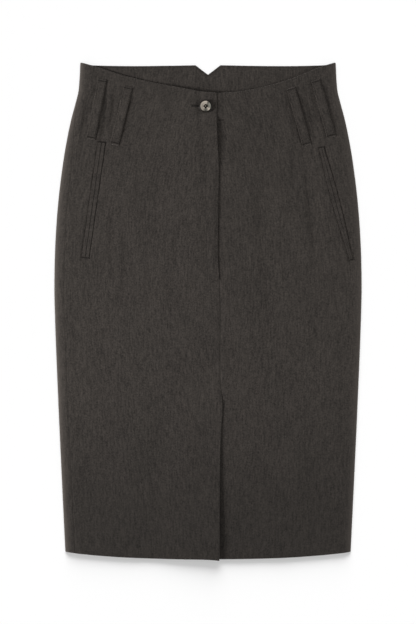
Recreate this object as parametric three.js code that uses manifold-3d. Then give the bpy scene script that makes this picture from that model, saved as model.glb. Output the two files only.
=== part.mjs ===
// Pencil skirt laid flat with its front up: two back panels under two front panels, joined round two side
// folds, with belt loops, jetted pockets, a zip under the fly and one button.
// Millimetres. +X is the viewer's right, +Y runs up to the waist, and +Z is up from the surface it lies on.
// Left and right in the names are the wearer's, so the right front is on the -X side.
import * as THREE from 'three';
import { mergeVertices } from 'three/addons/utils/BufferGeometryUtils.js';
import Module from 'manifold-3d';

const wasm = await Module();
wasm.setup();
const { clamp, lerp, smoothstep } = THREE.MathUtils;

// Main sizes
const LENGTH = 748;
const CLOTH = 1.3;
const HEM_CLOTH = 2.6;
const HEM_DEPTH = 20;
const SEAM_GAP = 0.3;
const LAID_HEIGHT = 6;
const FOLD_REACH = 9;

// Half of the width between the side folds, at distances down from the waist's side corners
const OUTLINE = [
  { down: 0, half: 191.6 },
  { down: 26, half: 192.8 },
  { down: 44, half: 194.6 },
  { down: 58, half: 198.1 },
  { down: 86, half: 205.5 },
  { down: 116, half: 211.8 },
  { down: 146, half: 216.9 },
  { down: 206, half: 224.4 },
  { down: 266, half: 228.8 },
  { down: 334, half: 230.5 },
  { down: 386, half: 229.4 },
  { down: 506, half: 224.7 },
  { down: 626, half: 219.2 },
  { down: 748, half: 213.3 },
];

// Front waist edge
const FRONT_WAIST = [
  { x: -190, down: 0 },
  { x: -167, down: 5.6 },
  { x: -136, down: 15.5 },
  { x: -94, down: 26 },
  { x: -51, down: 34.6 },
  { x: -9, down: 42.6 },
  { x: 14, down: 44.2 },
  { x: 38, down: 43 },
  { x: 62, down: 40.2 },
  { x: 104, down: 29.7 },
  { x: 133, down: 19.8 },
  { x: 167, down: 6.2 },
  { x: 190, down: 0 },
];

// Back waist edge, by the distance out from the middle, without its V notch
const BACK_WAIST = [
  { out: 0, down: 3.2 },
  { out: 60, down: 4.3 },
  { out: 100, down: 4.8 },
  { out: 160, down: 4.1 },
  { out: 178, down: 3 },
  { out: 190, down: 0 },
];
const NOTCH_HALF = 18.7;
const NOTCH_DEPTH = 14.7;

// Free edge of the right front: over the fly, down the centre-front seam, and over the vent
const OVER_EDGE = [
  { down: 40, x: 12.9 },
  { down: 98, x: 13.1 },
  { down: 124, x: 14.2 },
  { down: 150, x: 15.8 },
  { down: 175, x: 16.1 },
  { down: 206, x: 15.7 },
  { down: 266, x: 14.8 },
  { down: 299, x: 14.9 },
  { down: 326, x: 17.2 },
  { down: 350, x: 18.5 },
  { down: 485, x: 19.2 },
  { down: 506, x: 21.6 },
  { down: 575, x: 18.8 },
  { down: 748, x: 17.2 },
];
const FLY_EXTENSION = 35;
const FLY_EXTENSION_END = { from: 318, to: 334 };
const VENT_UNDERLAP = 40;
const VENT_UNDERLAP_START = { from: 484, to: 500 };

// How far the right front stands above the level of the other panel, and where it climbs to that
const FLY_LIFT = 3.1;
const FLY_TOP_LIFT = 4.1;
const FLY_TOP_END = { from: 102, to: 135 };
const FLY_LIFT_END = { from: 340, to: 372 };
const VENT_LIFT = 1.7;
const VENT_LIFT_START = { from: 455, to: 480 };
const VENT_HEM_LIFT = 3.1;
const VENT_HEM_START = { from: 520, to: 718 };
const LIFT_SLOPE = { from: -52, to: -22 };
const VENT_STAND = 1.4;
const VENT_STAND_SLOPE = { from: -34, to: 17 };

// Hem: its sides, how much lower its middle is, and the overlapping corner that hangs a little lower
const HEM_SIDE = 733.4;
const HEM_HALF = 214;
const HEM_ROUNDNESS = 2.6;
const FRONT_HEM_BOW = 10.6;
const BACK_HEM_BOW = 9;
const CORNER_DROOP = 4;
const CORNER_DROOP_WIDTH = 37;

// The skirt is turned a little on itself below the waist, so the side seams leave the folds
const TURN = 16;
const TURN_END = 180;

// Soft troughs in the front, as straight lines that bow sideways in their middles
const CREASES = [
  { topX: 147, topDown: 118, footX: 162, footDown: 322, bow: -6, depth: 1.5, reach: 9 },
  { topX: 131, topDown: 112, footX: 123, footDown: 214, bow: 0, depth: 0.9, reach: 10 },
  { topX: 74, topDown: 205, footX: 86, footDown: 372, bow: -2, depth: 1.1, reach: 17 },
  { topX: -111, topDown: 136, footX: -107, footDown: 222, bow: 1, depth: 0.9, reach: 9 },
  { topX: -50, topDown: 240, footX: -51, footDown: 345, bow: 0, depth: 0.9, reach: 12 },
  { topX: -154, topDown: 200, footX: -153, footDown: 318, bow: 1, depth: 0.8, reach: 11 },
  { topX: -122, topDown: 246, footX: -121, footDown: 362, bow: 0, depth: 0.8, reach: 12 },
];

// Belt loops, by the middles of their two sewn ends. Over LOOP_RISE, a share of its length from either end,
// a loop climbs to its full arch.
const LOOP_WIDTH = 13;
const LOOP_CLOTH = 2;
const LOOP_ARCH = 1.6;
const LOOP_RISE = { from: 0.065, to: 0.26 };
const BELT_LOOPS = [
  { topX: -158.2, topDown: 25.5, footX: -175.6, footDown: 115.5 },
  { topX: -119.3, topDown: 36.5, footX: -140.2, footDown: 123.5 },
  { topX: 123.8, topDown: 38.2, footX: 148.1, footDown: 124.5 },
  { topX: 160.6, topDown: 26.6, footX: 184.8, footDown: 112.4 },
];

// Jetted pockets, by the two ends of the slit; each has two narrow welts with the slit between them
const WELT_WIDTH = 5;
const WELT_CLOTH = 1.1;
const POCKET_SLIT = 0.7;
const POCKETS = [
  { side: 'right', topX: -159, topDown: 119, footX: -184, footDown: 293 },
  { side: 'left', topX: 169.5, topDown: 126.5, footX: 214.5, footDown: 296 },
];

// Zip, closed, between the fly extension and the right front
const ZIP_TOP = 58;
const ZIP_FOOT = 318;
const TAPE_WIDTH = 22;
const TAPE_CLOTH = 0.6;
const COIL_WIDTH = 5;
const COIL_HEIGHT = 1.2;
const COIL_START = 22;
const SLIDER = { width: 9, length: 13, from: 0.9, to: 2.2 };
const PULL = { width: 5, length: 20, from: 1.5 };

// Button
const BUTTON = { x: -3.6, down: 66.4, holes: 4, holeOffset: 2.2, holeRadius: 0.8 };
const BUTTON_PROFILE = [
  { radius: 0, height: 0 },
  { radius: 6.6, height: 0 },
  { radius: 8.5, height: 0.9 },
  { radius: 9, height: 1.9 },
  { radius: 8.7, height: 2.9 },
  { radius: 7.9, height: 3.3 },
  { radius: 6.9, height: 2.9 },
  { radius: 5.4, height: 2.2 },
  { radius: 2.8, height: 2 },
  { radius: 0, height: 2 },
];

const clothMaterial = new THREE.MeshStandardMaterial({ color: 0x3c3835, roughness: 0.95, metalness: 0 });
const tapeMaterial = new THREE.MeshStandardMaterial({ color: 0x2c2a29, roughness: 0.8, metalness: 0 });
const sliderMaterial = new THREE.MeshStandardMaterial({ color: 0x4a4744, roughness: 0.45, metalness: 0.8 });
const buttonMaterial = new THREE.MeshStandardMaterial({ color: 0xa79f92, roughness: 0.4, metalness: 0 });

// A smooth curve through one column of a table, read by another
function along(table, key, value) {
  const spline = new THREE.CubicInterpolant(table.map((row) => row[key]), table.map((row) => row[value]), 1);
  return (at) => spline.evaluate(at)[0];
}

const halfWidth = along(OUTLINE, 'down', 'half');
const frontWaist = along(FRONT_WAIST, 'x', 'down');
const backWaistPlain = along(BACK_WAIST, 'out', 'down');
const overEdge = along(OVER_EDGE, 'down', 'x');

const rise = (at, slope) => smoothstep(at, slope.from, slope.to);
const fall = (at, slope) => 1 - rise(at, slope);

// A side fold is half an ellipse. These give its quarter turn by the length of cloth round it.
const FOLD_STEPS = 60;
const QUARTER = Math.PI / 2;
const foldTurns = [0];
const foldLengths = [0];
for (let step = 1; step <= FOLD_STEPS; step++) {
  const before = foldTurns[step - 1];
  const turn = QUARTER * step / FOLD_STEPS;
  const width = FOLD_REACH * (Math.cos(before) - Math.cos(turn));
  const height = LAID_HEIGHT / 2 * (Math.sin(turn) - Math.sin(before));
  foldTurns.push(turn);
  foldLengths.push(foldLengths[step - 1] + Math.hypot(width, height));
}
const FOLD_LENGTH = foldLengths[FOLD_STEPS];
const turnSpline = new THREE.LinearInterpolant(foldLengths, foldTurns, 1);
const foldTurn = (reach) => Math.sign(reach) * turnSpline.evaluate(Math.abs(reach))[0];

// How far the side seams and the centre-back seam have moved round at this height
const turnedBy = (down) => TURN * smoothstep(down, 0, TURN_END);

// Cloth from the side fold to the place x, along the front or the back
const reachOf = (side, down, x) => FOLD_LENGTH + halfWidth(down) - FOLD_REACH - side * x;

// A point of the flattened tube. side is -1 or 1. reach is the length of cloth from the side fold, positive
// over the front and negative under the back. inside is the depth below the outer face.
function tubePoint(side, down, reach, inside) {
  const turn = foldTurn(reach);
  const past = Math.max(0, Math.abs(reach) - FOLD_LENGTH);
  const x = halfWidth(down) - FOLD_REACH + (FOLD_REACH - inside) * Math.cos(turn) - past;
  const z = LAID_HEIGHT / 2 + (LAID_HEIGHT / 2 - inside) * Math.sin(turn);
  return new THREE.Vector3(side * x, LENGTH / 2 - down, z);
}

function creaseDepth(x, down) {
  let depth = 0;
  for (const crease of CREASES) {
    const t = clamp((down - crease.topDown) / (crease.footDown - crease.topDown), 0, 1);
    const middle = lerp(crease.topX, crease.footX, t) + crease.bow * 4 * t * (1 - t);
    const across = (x - middle) / crease.reach;
    depth += crease.depth * Math.sin(Math.PI * t) * Math.exp(-across * across);
  }
  return depth;
}

// Height of the right front above the level of the other panels, where it lies over the fly and the vent
function overlapLift(x, down) {
  const fly = fall(down, FLY_LIFT_END) * (FLY_LIFT + (FLY_TOP_LIFT - FLY_LIFT) * fall(down, FLY_TOP_END));
  const vent = rise(down, VENT_LIFT_START) * lerp(VENT_LIFT, VENT_HEM_LIFT, rise(down, VENT_HEM_START));
  const stand = smoothstep(down, VENT_UNDERLAP_START.to, LENGTH) * VENT_STAND * rise(x, VENT_STAND_SLOPE);
  return rise(x, LIFT_SLOPE) * (fly + vent) + stand;
}

const underRelief = (x, down) => -creaseDepth(x, down);
const overRelief = (x, down) => overlapLift(x, down) - creaseDepth(x, down);

function backWaist(x) {
  const notch = NOTCH_DEPTH * Math.max(0, 1 - Math.abs(x) / NOTCH_HALF);
  return backWaistPlain(Math.abs(x)) + notch;
}

const hemCurve = (x, bow) => HEM_SIDE + bow * (1 - (Math.min(Math.abs(x), HEM_HALF) / HEM_HALF) ** HEM_ROUNDNESS);
const frontHem = (x) => hemCurve(x, FRONT_HEM_BOW);
const backHem = (x) => hemCurve(x, BACK_HEM_BOW);

function overHem(x) {
  const toEdge = overEdge(LENGTH) - x;
  return frontHem(x) + CORNER_DROOP * Math.max(0, 1 - toEdge / CORNER_DROOP_WIDTH) ** 3;
}

// Edge of the left front under the right front: the fly extension, the seam, then the vent's underlap
function underEdge(down) {
  const fly = FLY_EXTENSION * fall(down, FLY_EXTENSION_END);
  const vent = VENT_UNDERLAP * rise(down, VENT_UNDERLAP_START);
  return overEdge(down) + SEAM_GAP - fly - vent;
}

// A closed wall between an outer and an inner face, each given as rows of points
function wall(outer, inner) {
  const rows = outer.length;
  const columns = outer[0].length;
  const positions = [...outer.flat(), ...inner.flat()].flatMap((point) => point.toArray());
  const out = (row, column) => row * columns + column;
  const into = (row, column) => rows * columns + out(row, column);
  const triangles = [];
  const quad = (a, b, c, d) => triangles.push(a, b, c, a, c, d);
  for (let row = 1; row < rows; row++) {
    for (let column = 1; column < columns; column++) {
      quad(out(row - 1, column - 1), out(row, column - 1), out(row, column), out(row - 1, column));
      quad(into(row - 1, column - 1), into(row - 1, column), into(row, column), into(row, column - 1));
    }
    const last = columns - 1;
    quad(out(row - 1, 0), into(row - 1, 0), into(row, 0), out(row, 0));
    quad(out(row - 1, last), out(row, last), into(row, last), into(row - 1, last));
  }
  for (let column = 1; column < columns; column++) {
    const last = rows - 1;
    quad(out(0, column - 1), out(0, column), into(0, column), into(0, column - 1));
    quad(out(last, column - 1), into(last, column - 1), into(last, column), out(last, column));
  }
  const geometry = new THREE.BufferGeometry();
  geometry.setAttribute('position', new THREE.Float32BufferAttribute(positions, 3));
  geometry.setIndex(volumeOf(positions, triangles) > 0 ? triangles : triangles.reverse());
  return geometry;
}

function volumeOf(positions, triangles) {
  const point = (index) => new THREE.Vector3().fromArray(positions, index * 3);
  let volume = 0;
  for (let i = 0; i < triangles.length; i += 3) {
    volume += point(triangles[i]).dot(point(triangles[i + 1]).cross(point(triangles[i + 2]))) / 6;
  }
  return volume;
}

const evenly = (from, to, count) => Array.from({ length: count }, (_, i) => lerp(from, to, (i + 1) / (count + 1)));

// Where a panel's columns lie round the section at one height: from its side seam round the fold, evenly
// across, and then at set distances from its inner edge
function columnReaches(panel, down) {
  const start = panel.seam(down);
  const end = panel.edge(down);
  const towards = Math.sign(end - start);
  const last = end - towards * panel.edgeColumns[0];
  return [
    start,
    ...evenly(start, panel.foldEnd, panel.foldColumns),
    panel.foldEnd,
    ...evenly(panel.foldEnd, last, panel.middleColumns),
    ...panel.edgeColumns.map((distance) => end - towards * distance),
  ];
}

// Where a column's rows lie: at and just under its waist edge, evenly down, and at the turned-up hem's two
// edges. All panels have the same number, so that neighbours keep their gap down a curved seam.
const MIDDLE_ROWS = 30;
const WAIST_ROW = 6;
function rowDowns(top, foot) {
  const first = top + WAIST_ROW;
  const last = foot - HEM_DEPTH;
  return [top, first, ...evenly(first, last, MIDDLE_ROWS), last, last + SEAM_GAP, foot];
}

// Passes that settle where a slanting column meets a curved waist or hem edge
const MEETING_PASSES = 6;

function panelGeometry(panel) {
  const columns = columnReaches(panel, 0).length;
  const pointAt = (column, down, inside) => {
    const point = tubePoint(panel.side, down, columnReaches(panel, down)[column], inside);
    point.z += panel.relief(point.x, down);
    return point;
  };
  const meet = (column, edge) => {
    let down = edge(0);
    for (let pass = 0; pass < MEETING_PASSES; pass++) down = edge(pointAt(column, down, 0).x);
    return down;
  };
  const outer = [];
  const inner = [];
  for (let column = 0; column < columns; column++) {
    const downs = rowDowns(meet(column, panel.waist), meet(column, panel.hem));
    const turnedUp = downs.length - 2;
    outer.push(downs.map((down) => pointAt(column, down, 0)));
    inner.push(downs.map((down, row) => pointAt(column, down, row < turnedUp ? CLOTH : HEM_CLOTH)));
  }
  return wall(outer, inner);
}

const centreBack = (side, down) => -reachOf(side, down, -turnedBy(down)) + SEAM_GAP / 2;
const level = () => 0;

const PANELS = [
  {
    name: 'back_right',
    side: -1,
    seam: (down) => turnedBy(down) - SEAM_GAP / 2,
    foldEnd: -14,
    foldColumns: 7,
    middleColumns: 8,
    edge: (down) => centreBack(-1, down),
    edgeColumns: [NOTCH_HALF, 0],
    waist: backWaist,
    hem: backHem,
    relief: level,
  },
  {
    name: 'back_left',
    side: 1,
    seam: (down) => -turnedBy(down) - SEAM_GAP / 2,
    foldEnd: -20,
    foldColumns: 5,
    middleColumns: 8,
    edge: (down) => centreBack(1, down),
    edgeColumns: [NOTCH_HALF, 0],
    waist: backWaist,
    hem: backHem,
    relief: level,
  },
  {
    name: 'front_right',
    side: -1,
    seam: (down) => turnedBy(down) + SEAM_GAP / 2,
    foldEnd: 22,
    foldColumns: 4,
    middleColumns: 11,
    edge: (down) => reachOf(-1, down, overEdge(down)),
    edgeColumns: [72, 62, 54, 46, 38, 25, 12, 0],
    waist: frontWaist,
    hem: overHem,
    relief: overRelief,
  },
  {
    name: 'front_left',
    side: 1,
    seam: (down) => -turnedBy(down) + SEAM_GAP / 2,
    foldEnd: 14,
    foldColumns: 7,
    middleColumns: 14,
    edge: (down) => reachOf(1, down, underEdge(down)),
    edgeColumns: [44, 30, 15, 0],
    waist: frontWaist,
    hem: frontHem,
    relief: underRelief,
  },
];

// A narrow strip on the front, from its top to its foot, with rounded long edges. shift moves it sideways,
// and arch(t) is how far it stands off the panel.
const STRIP_ACROSS = [
  { at: -1, thick: 0.45 },
  { at: -0.7, thick: 0.95 },
  { at: 0, thick: 1 },
  { at: 0.7, thick: 0.95 },
  { at: 1, thick: 0.45 },
];

function stripGeometry(ends, shift, width, cloth, steps, arch) {
  const way = new THREE.Vector2(ends.footX - ends.topX, ends.footDown - ends.topDown).normalize();
  const outer = [];
  const inner = [];
  for (let step = 0; step <= steps; step++) {
    const t = step / steps;
    const points = STRIP_ACROSS.map(({ at }) => {
      const sideways = shift + at * width / 2;
      const x = lerp(ends.topX, ends.footX, t) + way.y * sideways;
      const down = lerp(ends.topDown, ends.footDown, t) - way.x * sideways;
      const z = LAID_HEIGHT - creaseDepth(x, down) + SEAM_GAP + arch(t);
      return new THREE.Vector3(x, LENGTH / 2 - down, z);
    });
    inner.push(points);
    outer.push(points.map((point, i) => {
      return new THREE.Vector3(point.x, point.y, point.z + cloth * STRIP_ACROSS[i].thick);
    }));
  }
  return wall(outer, inner);
}

const LOOP_STEPS = 14;
const WELT_STEPS = 16;
const loopArch = (t) => LOOP_ARCH * rise(Math.min(t, 1 - t), LOOP_RISE);

// Solids that are joined or cut
function solid(geometry) {
  const plain = geometry.clone();
  plain.deleteAttribute('normal');
  plain.deleteAttribute('uv');
  const merged = mergeVertices(plain);
  const vertProperties = new Float32Array(merged.attributes.position.array);
  const triVerts = new Uint32Array(merged.index.array);
  return new wasm.Manifold(new wasm.Mesh({ numProp: 3, vertProperties, triVerts }));
}

function geometryOf(manifold) {
  const { vertProperties, triVerts } = manifold.getMesh();
  const geometry = new THREE.BufferGeometry();
  geometry.setAttribute('position', new THREE.BufferAttribute(vertProperties, 3));
  geometry.setIndex(new THREE.BufferAttribute(triVerts, 1));
  return geometry;
}

// A block whose top and foot are distances down the skirt, and whose faces are heights over the zip's base
function zipBlock(width, top, foot, from, to) {
  const block = new THREE.BoxGeometry(width, foot - top, to - from);
  block.translate(0, LENGTH / 2 - (top + foot) / 2, LAID_HEIGHT + SEAM_GAP + (from + to) / 2);
  return solid(block);
}

function zipTapeGeometry() {
  const tape = zipBlock(TAPE_WIDTH, ZIP_TOP, ZIP_FOOT, 0, TAPE_CLOTH);
  const coil = zipBlock(COIL_WIDTH, ZIP_TOP + COIL_START, ZIP_FOOT - COIL_WIDTH, TAPE_CLOTH / 2, COIL_HEIGHT);
  return geometryOf(tape.add(coil));
}

function zipSliderGeometry() {
  const top = ZIP_TOP + COIL_WIDTH;
  const body = zipBlock(SLIDER.width, top, top + SLIDER.length, SLIDER.from, SLIDER.to);
  const pullTop = top + SLIDER.length / 2;
  const pull = zipBlock(PULL.width, pullTop, pullTop + SLIDER.length / 2 + PULL.length, PULL.from, SLIDER.to);
  return geometryOf(body.add(pull));
}

const BUTTON_SIDES = 36;
const HOLE_SIDES = 10;
const DRILL_LENGTH = 10;
function buttonGeometry() {
  const profile = BUTTON_PROFILE.map(({ radius, height }) => new THREE.Vector2(radius, height));
  let button = solid(new THREE.LatheGeometry(profile, BUTTON_SIDES).rotateX(QUARTER));
  for (let hole = 0; hole < BUTTON.holes; hole++) {
    const angle = 2 * Math.PI * hole / BUTTON.holes;
    const drill = new THREE.CylinderGeometry(BUTTON.holeRadius, BUTTON.holeRadius, DRILL_LENGTH, HOLE_SIDES);
    drill.rotateX(QUARTER);
    drill.translate(BUTTON.holeOffset * Math.cos(angle), BUTTON.holeOffset * Math.sin(angle), 0);
    button = button.subtract(solid(drill));
  }
  return geometryOf(button);
}

const skirt = new THREE.Group();

function addMesh(name, geometry, material) {
  const mesh = new THREE.Mesh(geometry, material);
  mesh.name = name;
  skirt.add(mesh);
  return mesh;
}

for (const panel of PANELS) {
  addMesh(panel.name, panelGeometry(panel), clothMaterial);
}

BELT_LOOPS.forEach((ends, index) => {
  const loop = stripGeometry(ends, 0, LOOP_WIDTH, LOOP_CLOTH, LOOP_STEPS, loopArch);
  addMesh(`belt_loop_${index + 1}`, loop, clothMaterial);
});

for (const pocket of POCKETS) {
  const shift = (WELT_WIDTH + POCKET_SLIT) / 2;
  for (const [place, sign] of [['outer', Math.sign(pocket.topX)], ['inner', -Math.sign(pocket.topX)]]) {
    const welt = stripGeometry(pocket, sign * shift, WELT_WIDTH, WELT_CLOTH, WELT_STEPS, level);
    addMesh(`pocket_${pocket.side}_${place}_welt`, welt, clothMaterial);
  }
}

addMesh('zip_tape', zipTapeGeometry(), tapeMaterial);
addMesh('zip_slider', zipSliderGeometry(), sliderMaterial);

const button = addMesh('button', buttonGeometry(), buttonMaterial);
const buttonBase = LAID_HEIGHT + overRelief(BUTTON.x, BUTTON.down) + SEAM_GAP;
button.position.set(BUTTON.x, LENGTH / 2 - BUTTON.down, buttonBase);

export default skirt;
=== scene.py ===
"""Pencil skirt laid flat with its front up: fine cloth, pockets, belt loops, sewing, zip, button and studio.

Everything is in metres. +X is the viewer's right, +Y runs up to the waist, +Z is up off the floor. Left and
right in the names are the wearer's. "down" is the distance below the waist's side corners, and "reach" is
the length of cloth from a side fold, positive over the front and negative under the back.
"""

import math
from types import SimpleNamespace

import bpy
import numpy as np
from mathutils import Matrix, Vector


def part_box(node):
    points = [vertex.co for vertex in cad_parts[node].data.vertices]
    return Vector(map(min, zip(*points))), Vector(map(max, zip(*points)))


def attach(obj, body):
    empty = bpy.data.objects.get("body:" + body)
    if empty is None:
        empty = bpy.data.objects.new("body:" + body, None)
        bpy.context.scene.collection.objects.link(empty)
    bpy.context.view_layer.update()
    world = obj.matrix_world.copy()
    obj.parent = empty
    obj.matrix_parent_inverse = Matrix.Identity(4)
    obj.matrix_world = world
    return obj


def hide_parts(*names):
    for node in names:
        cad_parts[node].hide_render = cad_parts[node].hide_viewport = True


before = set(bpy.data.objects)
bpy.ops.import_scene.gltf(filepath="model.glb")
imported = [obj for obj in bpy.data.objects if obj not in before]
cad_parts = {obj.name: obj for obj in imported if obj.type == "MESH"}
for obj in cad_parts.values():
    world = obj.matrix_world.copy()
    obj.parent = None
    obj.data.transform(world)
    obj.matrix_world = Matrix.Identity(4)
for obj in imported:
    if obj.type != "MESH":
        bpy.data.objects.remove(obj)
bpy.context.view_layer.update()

bl_info = {
    "name": "Pencil skirt",
    "version": (1, 0, 0),
    "blender": (4, 5, 0),
    "location": "3D View > Sidebar > Skirt",
    "description": "Makes a pencil skirt laid flat, with its sewing, zip, button and studio",
    "category": "Object",
}

CLOTH_UV = "cloth"

# Main sizes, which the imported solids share
LENGTH = 0.748
LAID_HEIGHT = 0.006
FOLD_REACH = 0.009
LAID_GAP = 0.0001
CLOTH = 0.0013
HEM_CLOTH = 0.0026
HEM_DEPTH = 0.02
HEM_SOFTNESS = 0.001

# Half of the width between the side folds: distance down, half width
OUTLINE = (
    (0, 0.1916), (0.026, 0.1928), (0.044, 0.1946), (0.058, 0.1981), (0.086, 0.2055), (0.116, 0.2118),
    (0.146, 0.2169), (0.206, 0.2244), (0.266, 0.2288), (0.334, 0.2305), (0.386, 0.2294), (0.506, 0.2247),
    (0.626, 0.2192), (0.748, 0.2133),
)

# Front waist edge: place across, distance down
FRONT_WAIST = (
    (-0.19, 0), (-0.167, 0.0062), (-0.136, 0.0166), (-0.094, 0.0272), (-0.051, 0.0358), (-0.009, 0.0437),
    (0.014, 0.0455), (0.038, 0.044), (0.062, 0.0411), (0.104, 0.0309), (0.133, 0.0211), (0.167, 0.007),
    (0.19, 0),
)

# Back waist edge without its V notch: distance out from the middle, distance down
BACK_WAIST = ((0, 0.0032), (0.06, 0.0043), (0.1, 0.0048), (0.16, 0.0041), (0.178, 0.003), (0.19, 0))
NOTCH_HALF = 0.0187
NOTCH_DEPTH = 0.0147

# Free edge of the right front: distance down, place across
OVER_EDGE = (
    (0.04, 0.0129), (0.098, 0.0131), (0.124, 0.0142), (0.15, 0.0156), (0.175, 0.0157), (0.206, 0.0152),
    (0.266, 0.0144), (0.299, 0.0147), (0.326, 0.0172), (0.35, 0.0185), (0.485, 0.0192), (0.506, 0.0212),
    (0.575, 0.0184), (0.748, 0.017),
)
FLY_EXTENSION = 0.035
FLY_EXTENSION_END = (0.304, 0.319)
VENT_UNDERLAP = 0.04
VENT_UNDERLAP_START = (0.504, 0.518)

# How far the right front stands above the other panels, and where it climbs to that
FLY_LIFT = 0.0031
FLY_TOP_LIFT = 0.0041
FLY_TOP_END = (0.1, 0.155)
FLY_LIFT_END = (0.307, 0.342)
VENT_LIFT = 0.0017
VENT_LIFT_START = (0.486, 0.509)
VENT_HEM_LIFT = 0.0031
VENT_HEM_START = (0.52, 0.718)
LIFT_SLOPE = (-0.08, -0.017)
FLY_CURL = 0.0014
FLY_CURL_WIDTH = 0.007
FLY_CURL_START = (0.125, 0.175)
FLY_TOP_CURL = 0.0008
UNDER_LIFT = 0.0021
UNDER_LIFT_RISE = (0.006, 0.012)
UNDER_LIFT_FALL = (0.02, 0.065)
UNDER_LIFT_END = (0.078, 0.092)
VENT_STAND = 0.002
VENT_STAND_SLOPE = (-0.034, 0.017)

HEM_SIDE = 0.7334
HEM_HALF = 0.214
HEM_ROUNDNESS = 2.6
FRONT_HEM_BOW = 0.0106
BACK_HEM_BOW = 0.009
CORNER_DROOP = 0.0018
CORNER_DROOP_WIDTH = 0.037

# The skirt is turned a little on itself below the waist, so the side seams leave the folds
TURN = 0.016
TURN_END = 0.18

# Creases are soft troughs: top (across, down), foot, bow sideways in the middle, depth, and reach to the
# viewer's left, the steep side. To the right they reach further out by CREASE_SPREAD.
CREASE_SPREAD = 2.4
FRONT_CREASES = (
    ((0.1405, 0.082), (0.1635, 0.335), 0.001, 0.0033, 0.0056),
    ((0.133, 0.124), (0.128, 0.19), 0, 0.0017, 0.0045),
    ((0.077, 0.175), (0.0865, 0.32), 0.001, 0.0036, 0.0095),
    ((0.088, 0.285), (0.094, 0.41), -0.001, 0.0028, 0.0085),
    ((-0.106, 0.136), (-0.104, 0.222), 0.001, 0.0008, 0.0045),
    ((-0.05, 0.24), (-0.0495, 0.345), 0, 0.0009, 0.0046),
    ((-0.143, 0.2), (-0.147, 0.33), 0.001, 0.0009, 0.0045),
    ((-0.121, 0.225), (-0.128, 0.372), 0.001, 0.0011, 0.0055),
    ((-0.087, 0.28), (-0.091, 0.4), 0.001, 0.0008, 0.006),
    ((-0.139, 0.036), (-0.148, 0.108), 0.001, 0.0026, 0.0036),
    ((-0.151, 0.05), (-0.16, 0.13), 0, 0.002, 0.0036),
    ((-0.131, 0.055), (-0.134, 0.088), 0, 0.0014, 0.003),
    ((0.144, 0.036), (0.162, 0.12), -0.001, 0.0023, 0.0036),
    ((0.152, 0.036), (0.165, 0.09), 0, 0.0013, 0.003),
    ((-0.18, 0.035), (-0.19, 0.12), 0.001, 0.0017, 0.004),
)
BACK_CREASES = (
    ((-0.14, 0.13), (-0.152, 0.31), 0.004, 0.0011, 0.012),
    ((0.128, 0.12), (0.12, 0.25), 0.001, 0.0009, 0.011),
    ((0.052, 0.25), (0.04, 0.4), -0.002, 0.001, 0.014),
    ((-0.058, 0.26), (-0.061, 0.36), 0, 0.0008, 0.013),
    ((0.158, 0.25), (0.155, 0.37), -0.001, 0.0008, 0.012),
)

# Belt loops, by the middles of their two sewn ends (across, down)
LOOP_WIDTH = 0.013
LOOP_CLOTH = 0.0012
LOOP_ARCH = 0.0009
LOOP_RIDGE = 0.0002
LOOP_RISE = (0.065, 0.26)
BELT_LOOPS = (
    ((-0.1582, 0.0255), (-0.1756, 0.1155)),
    ((-0.1193, 0.0365), (-0.1402, 0.1235)),
    ((0.1238, 0.0382), (0.1481, 0.1245)),
    ((0.1606, 0.0266), (0.1848, 0.1124)),
)

# Rows of stitches on a loop, as shares of its width and length, and their heights over its face
EDGE_ROW_SHARE = 0.38
EDGE_ROW_ENDS = (0.03, 0.97)
EDGE_ROW_HEIGHT = 0.00025
LOOP_TACK_HALF = 0.45
LOOP_TACK_HEIGHT = 0.0002
HEAD_TACK_SHARE = 0.03
FOOT_TACK_SHARE = 0.965

# Jetted pockets, by the ends of the slit (across, down). The left one's welts narrow towards both ends.
WELT_WIDTH = 0.005
WELT_CLOTH = 0.0011
POCKET_SLIT = 0.0007
POCKETS = {
    "right": ((-0.159, 0.119), (-0.184, 0.293)),
    "left": ((0.1695, 0.1265), (0.2145, 0.296)),
}
POCKET_TACK_SHARES = (0.004, 0.996)
POCKET_TACK_MARGIN = 0.0008
POCKET_SINK = 0.0009
POCKET_SINK_EDGE = (0.0056, 0.0074)
NARROW_HEAD = 0.4
NARROW_HEAD_END = (0, 0.35)
NARROW_FOOT = 0.62
NARROW_FOOT_START = (0.5, 1)

# Zip: its tape, its coil of closed teeth, and its slider with the pull laid down
ZIP_TOP = 0.058
ZIP_FOOT = 0.314
TAPE_WIDTH = 0.022
TAPE_CLOTH = 0.0006
COIL_WIDTH = 0.005
COIL_TOP = 0.08
COIL_PITCH = 0.0012
COIL_THICKNESS = 0.001
COIL_MIDDLE = 0.0004
SLIDER_WIDTH = 0.009
SLIDER_LENGTH = 0.013
SLIDER_METAL = 0.0013
SLIDER_LIFT = 0.0003
SLIDER_SLOPE = 0.0004
SLIDER_CREST = 0.4
PULL_WIDTH = 0.005
PULL_ENDS = (0.007, 0.033)
PULL_METAL = 0.0007
PULL_LIFT = 0.0019
PULL_DROP = 0.0012
PULL_DROP_SLOPE = (0.1, 0.4)
METAL_STEP = 0.0008

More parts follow.
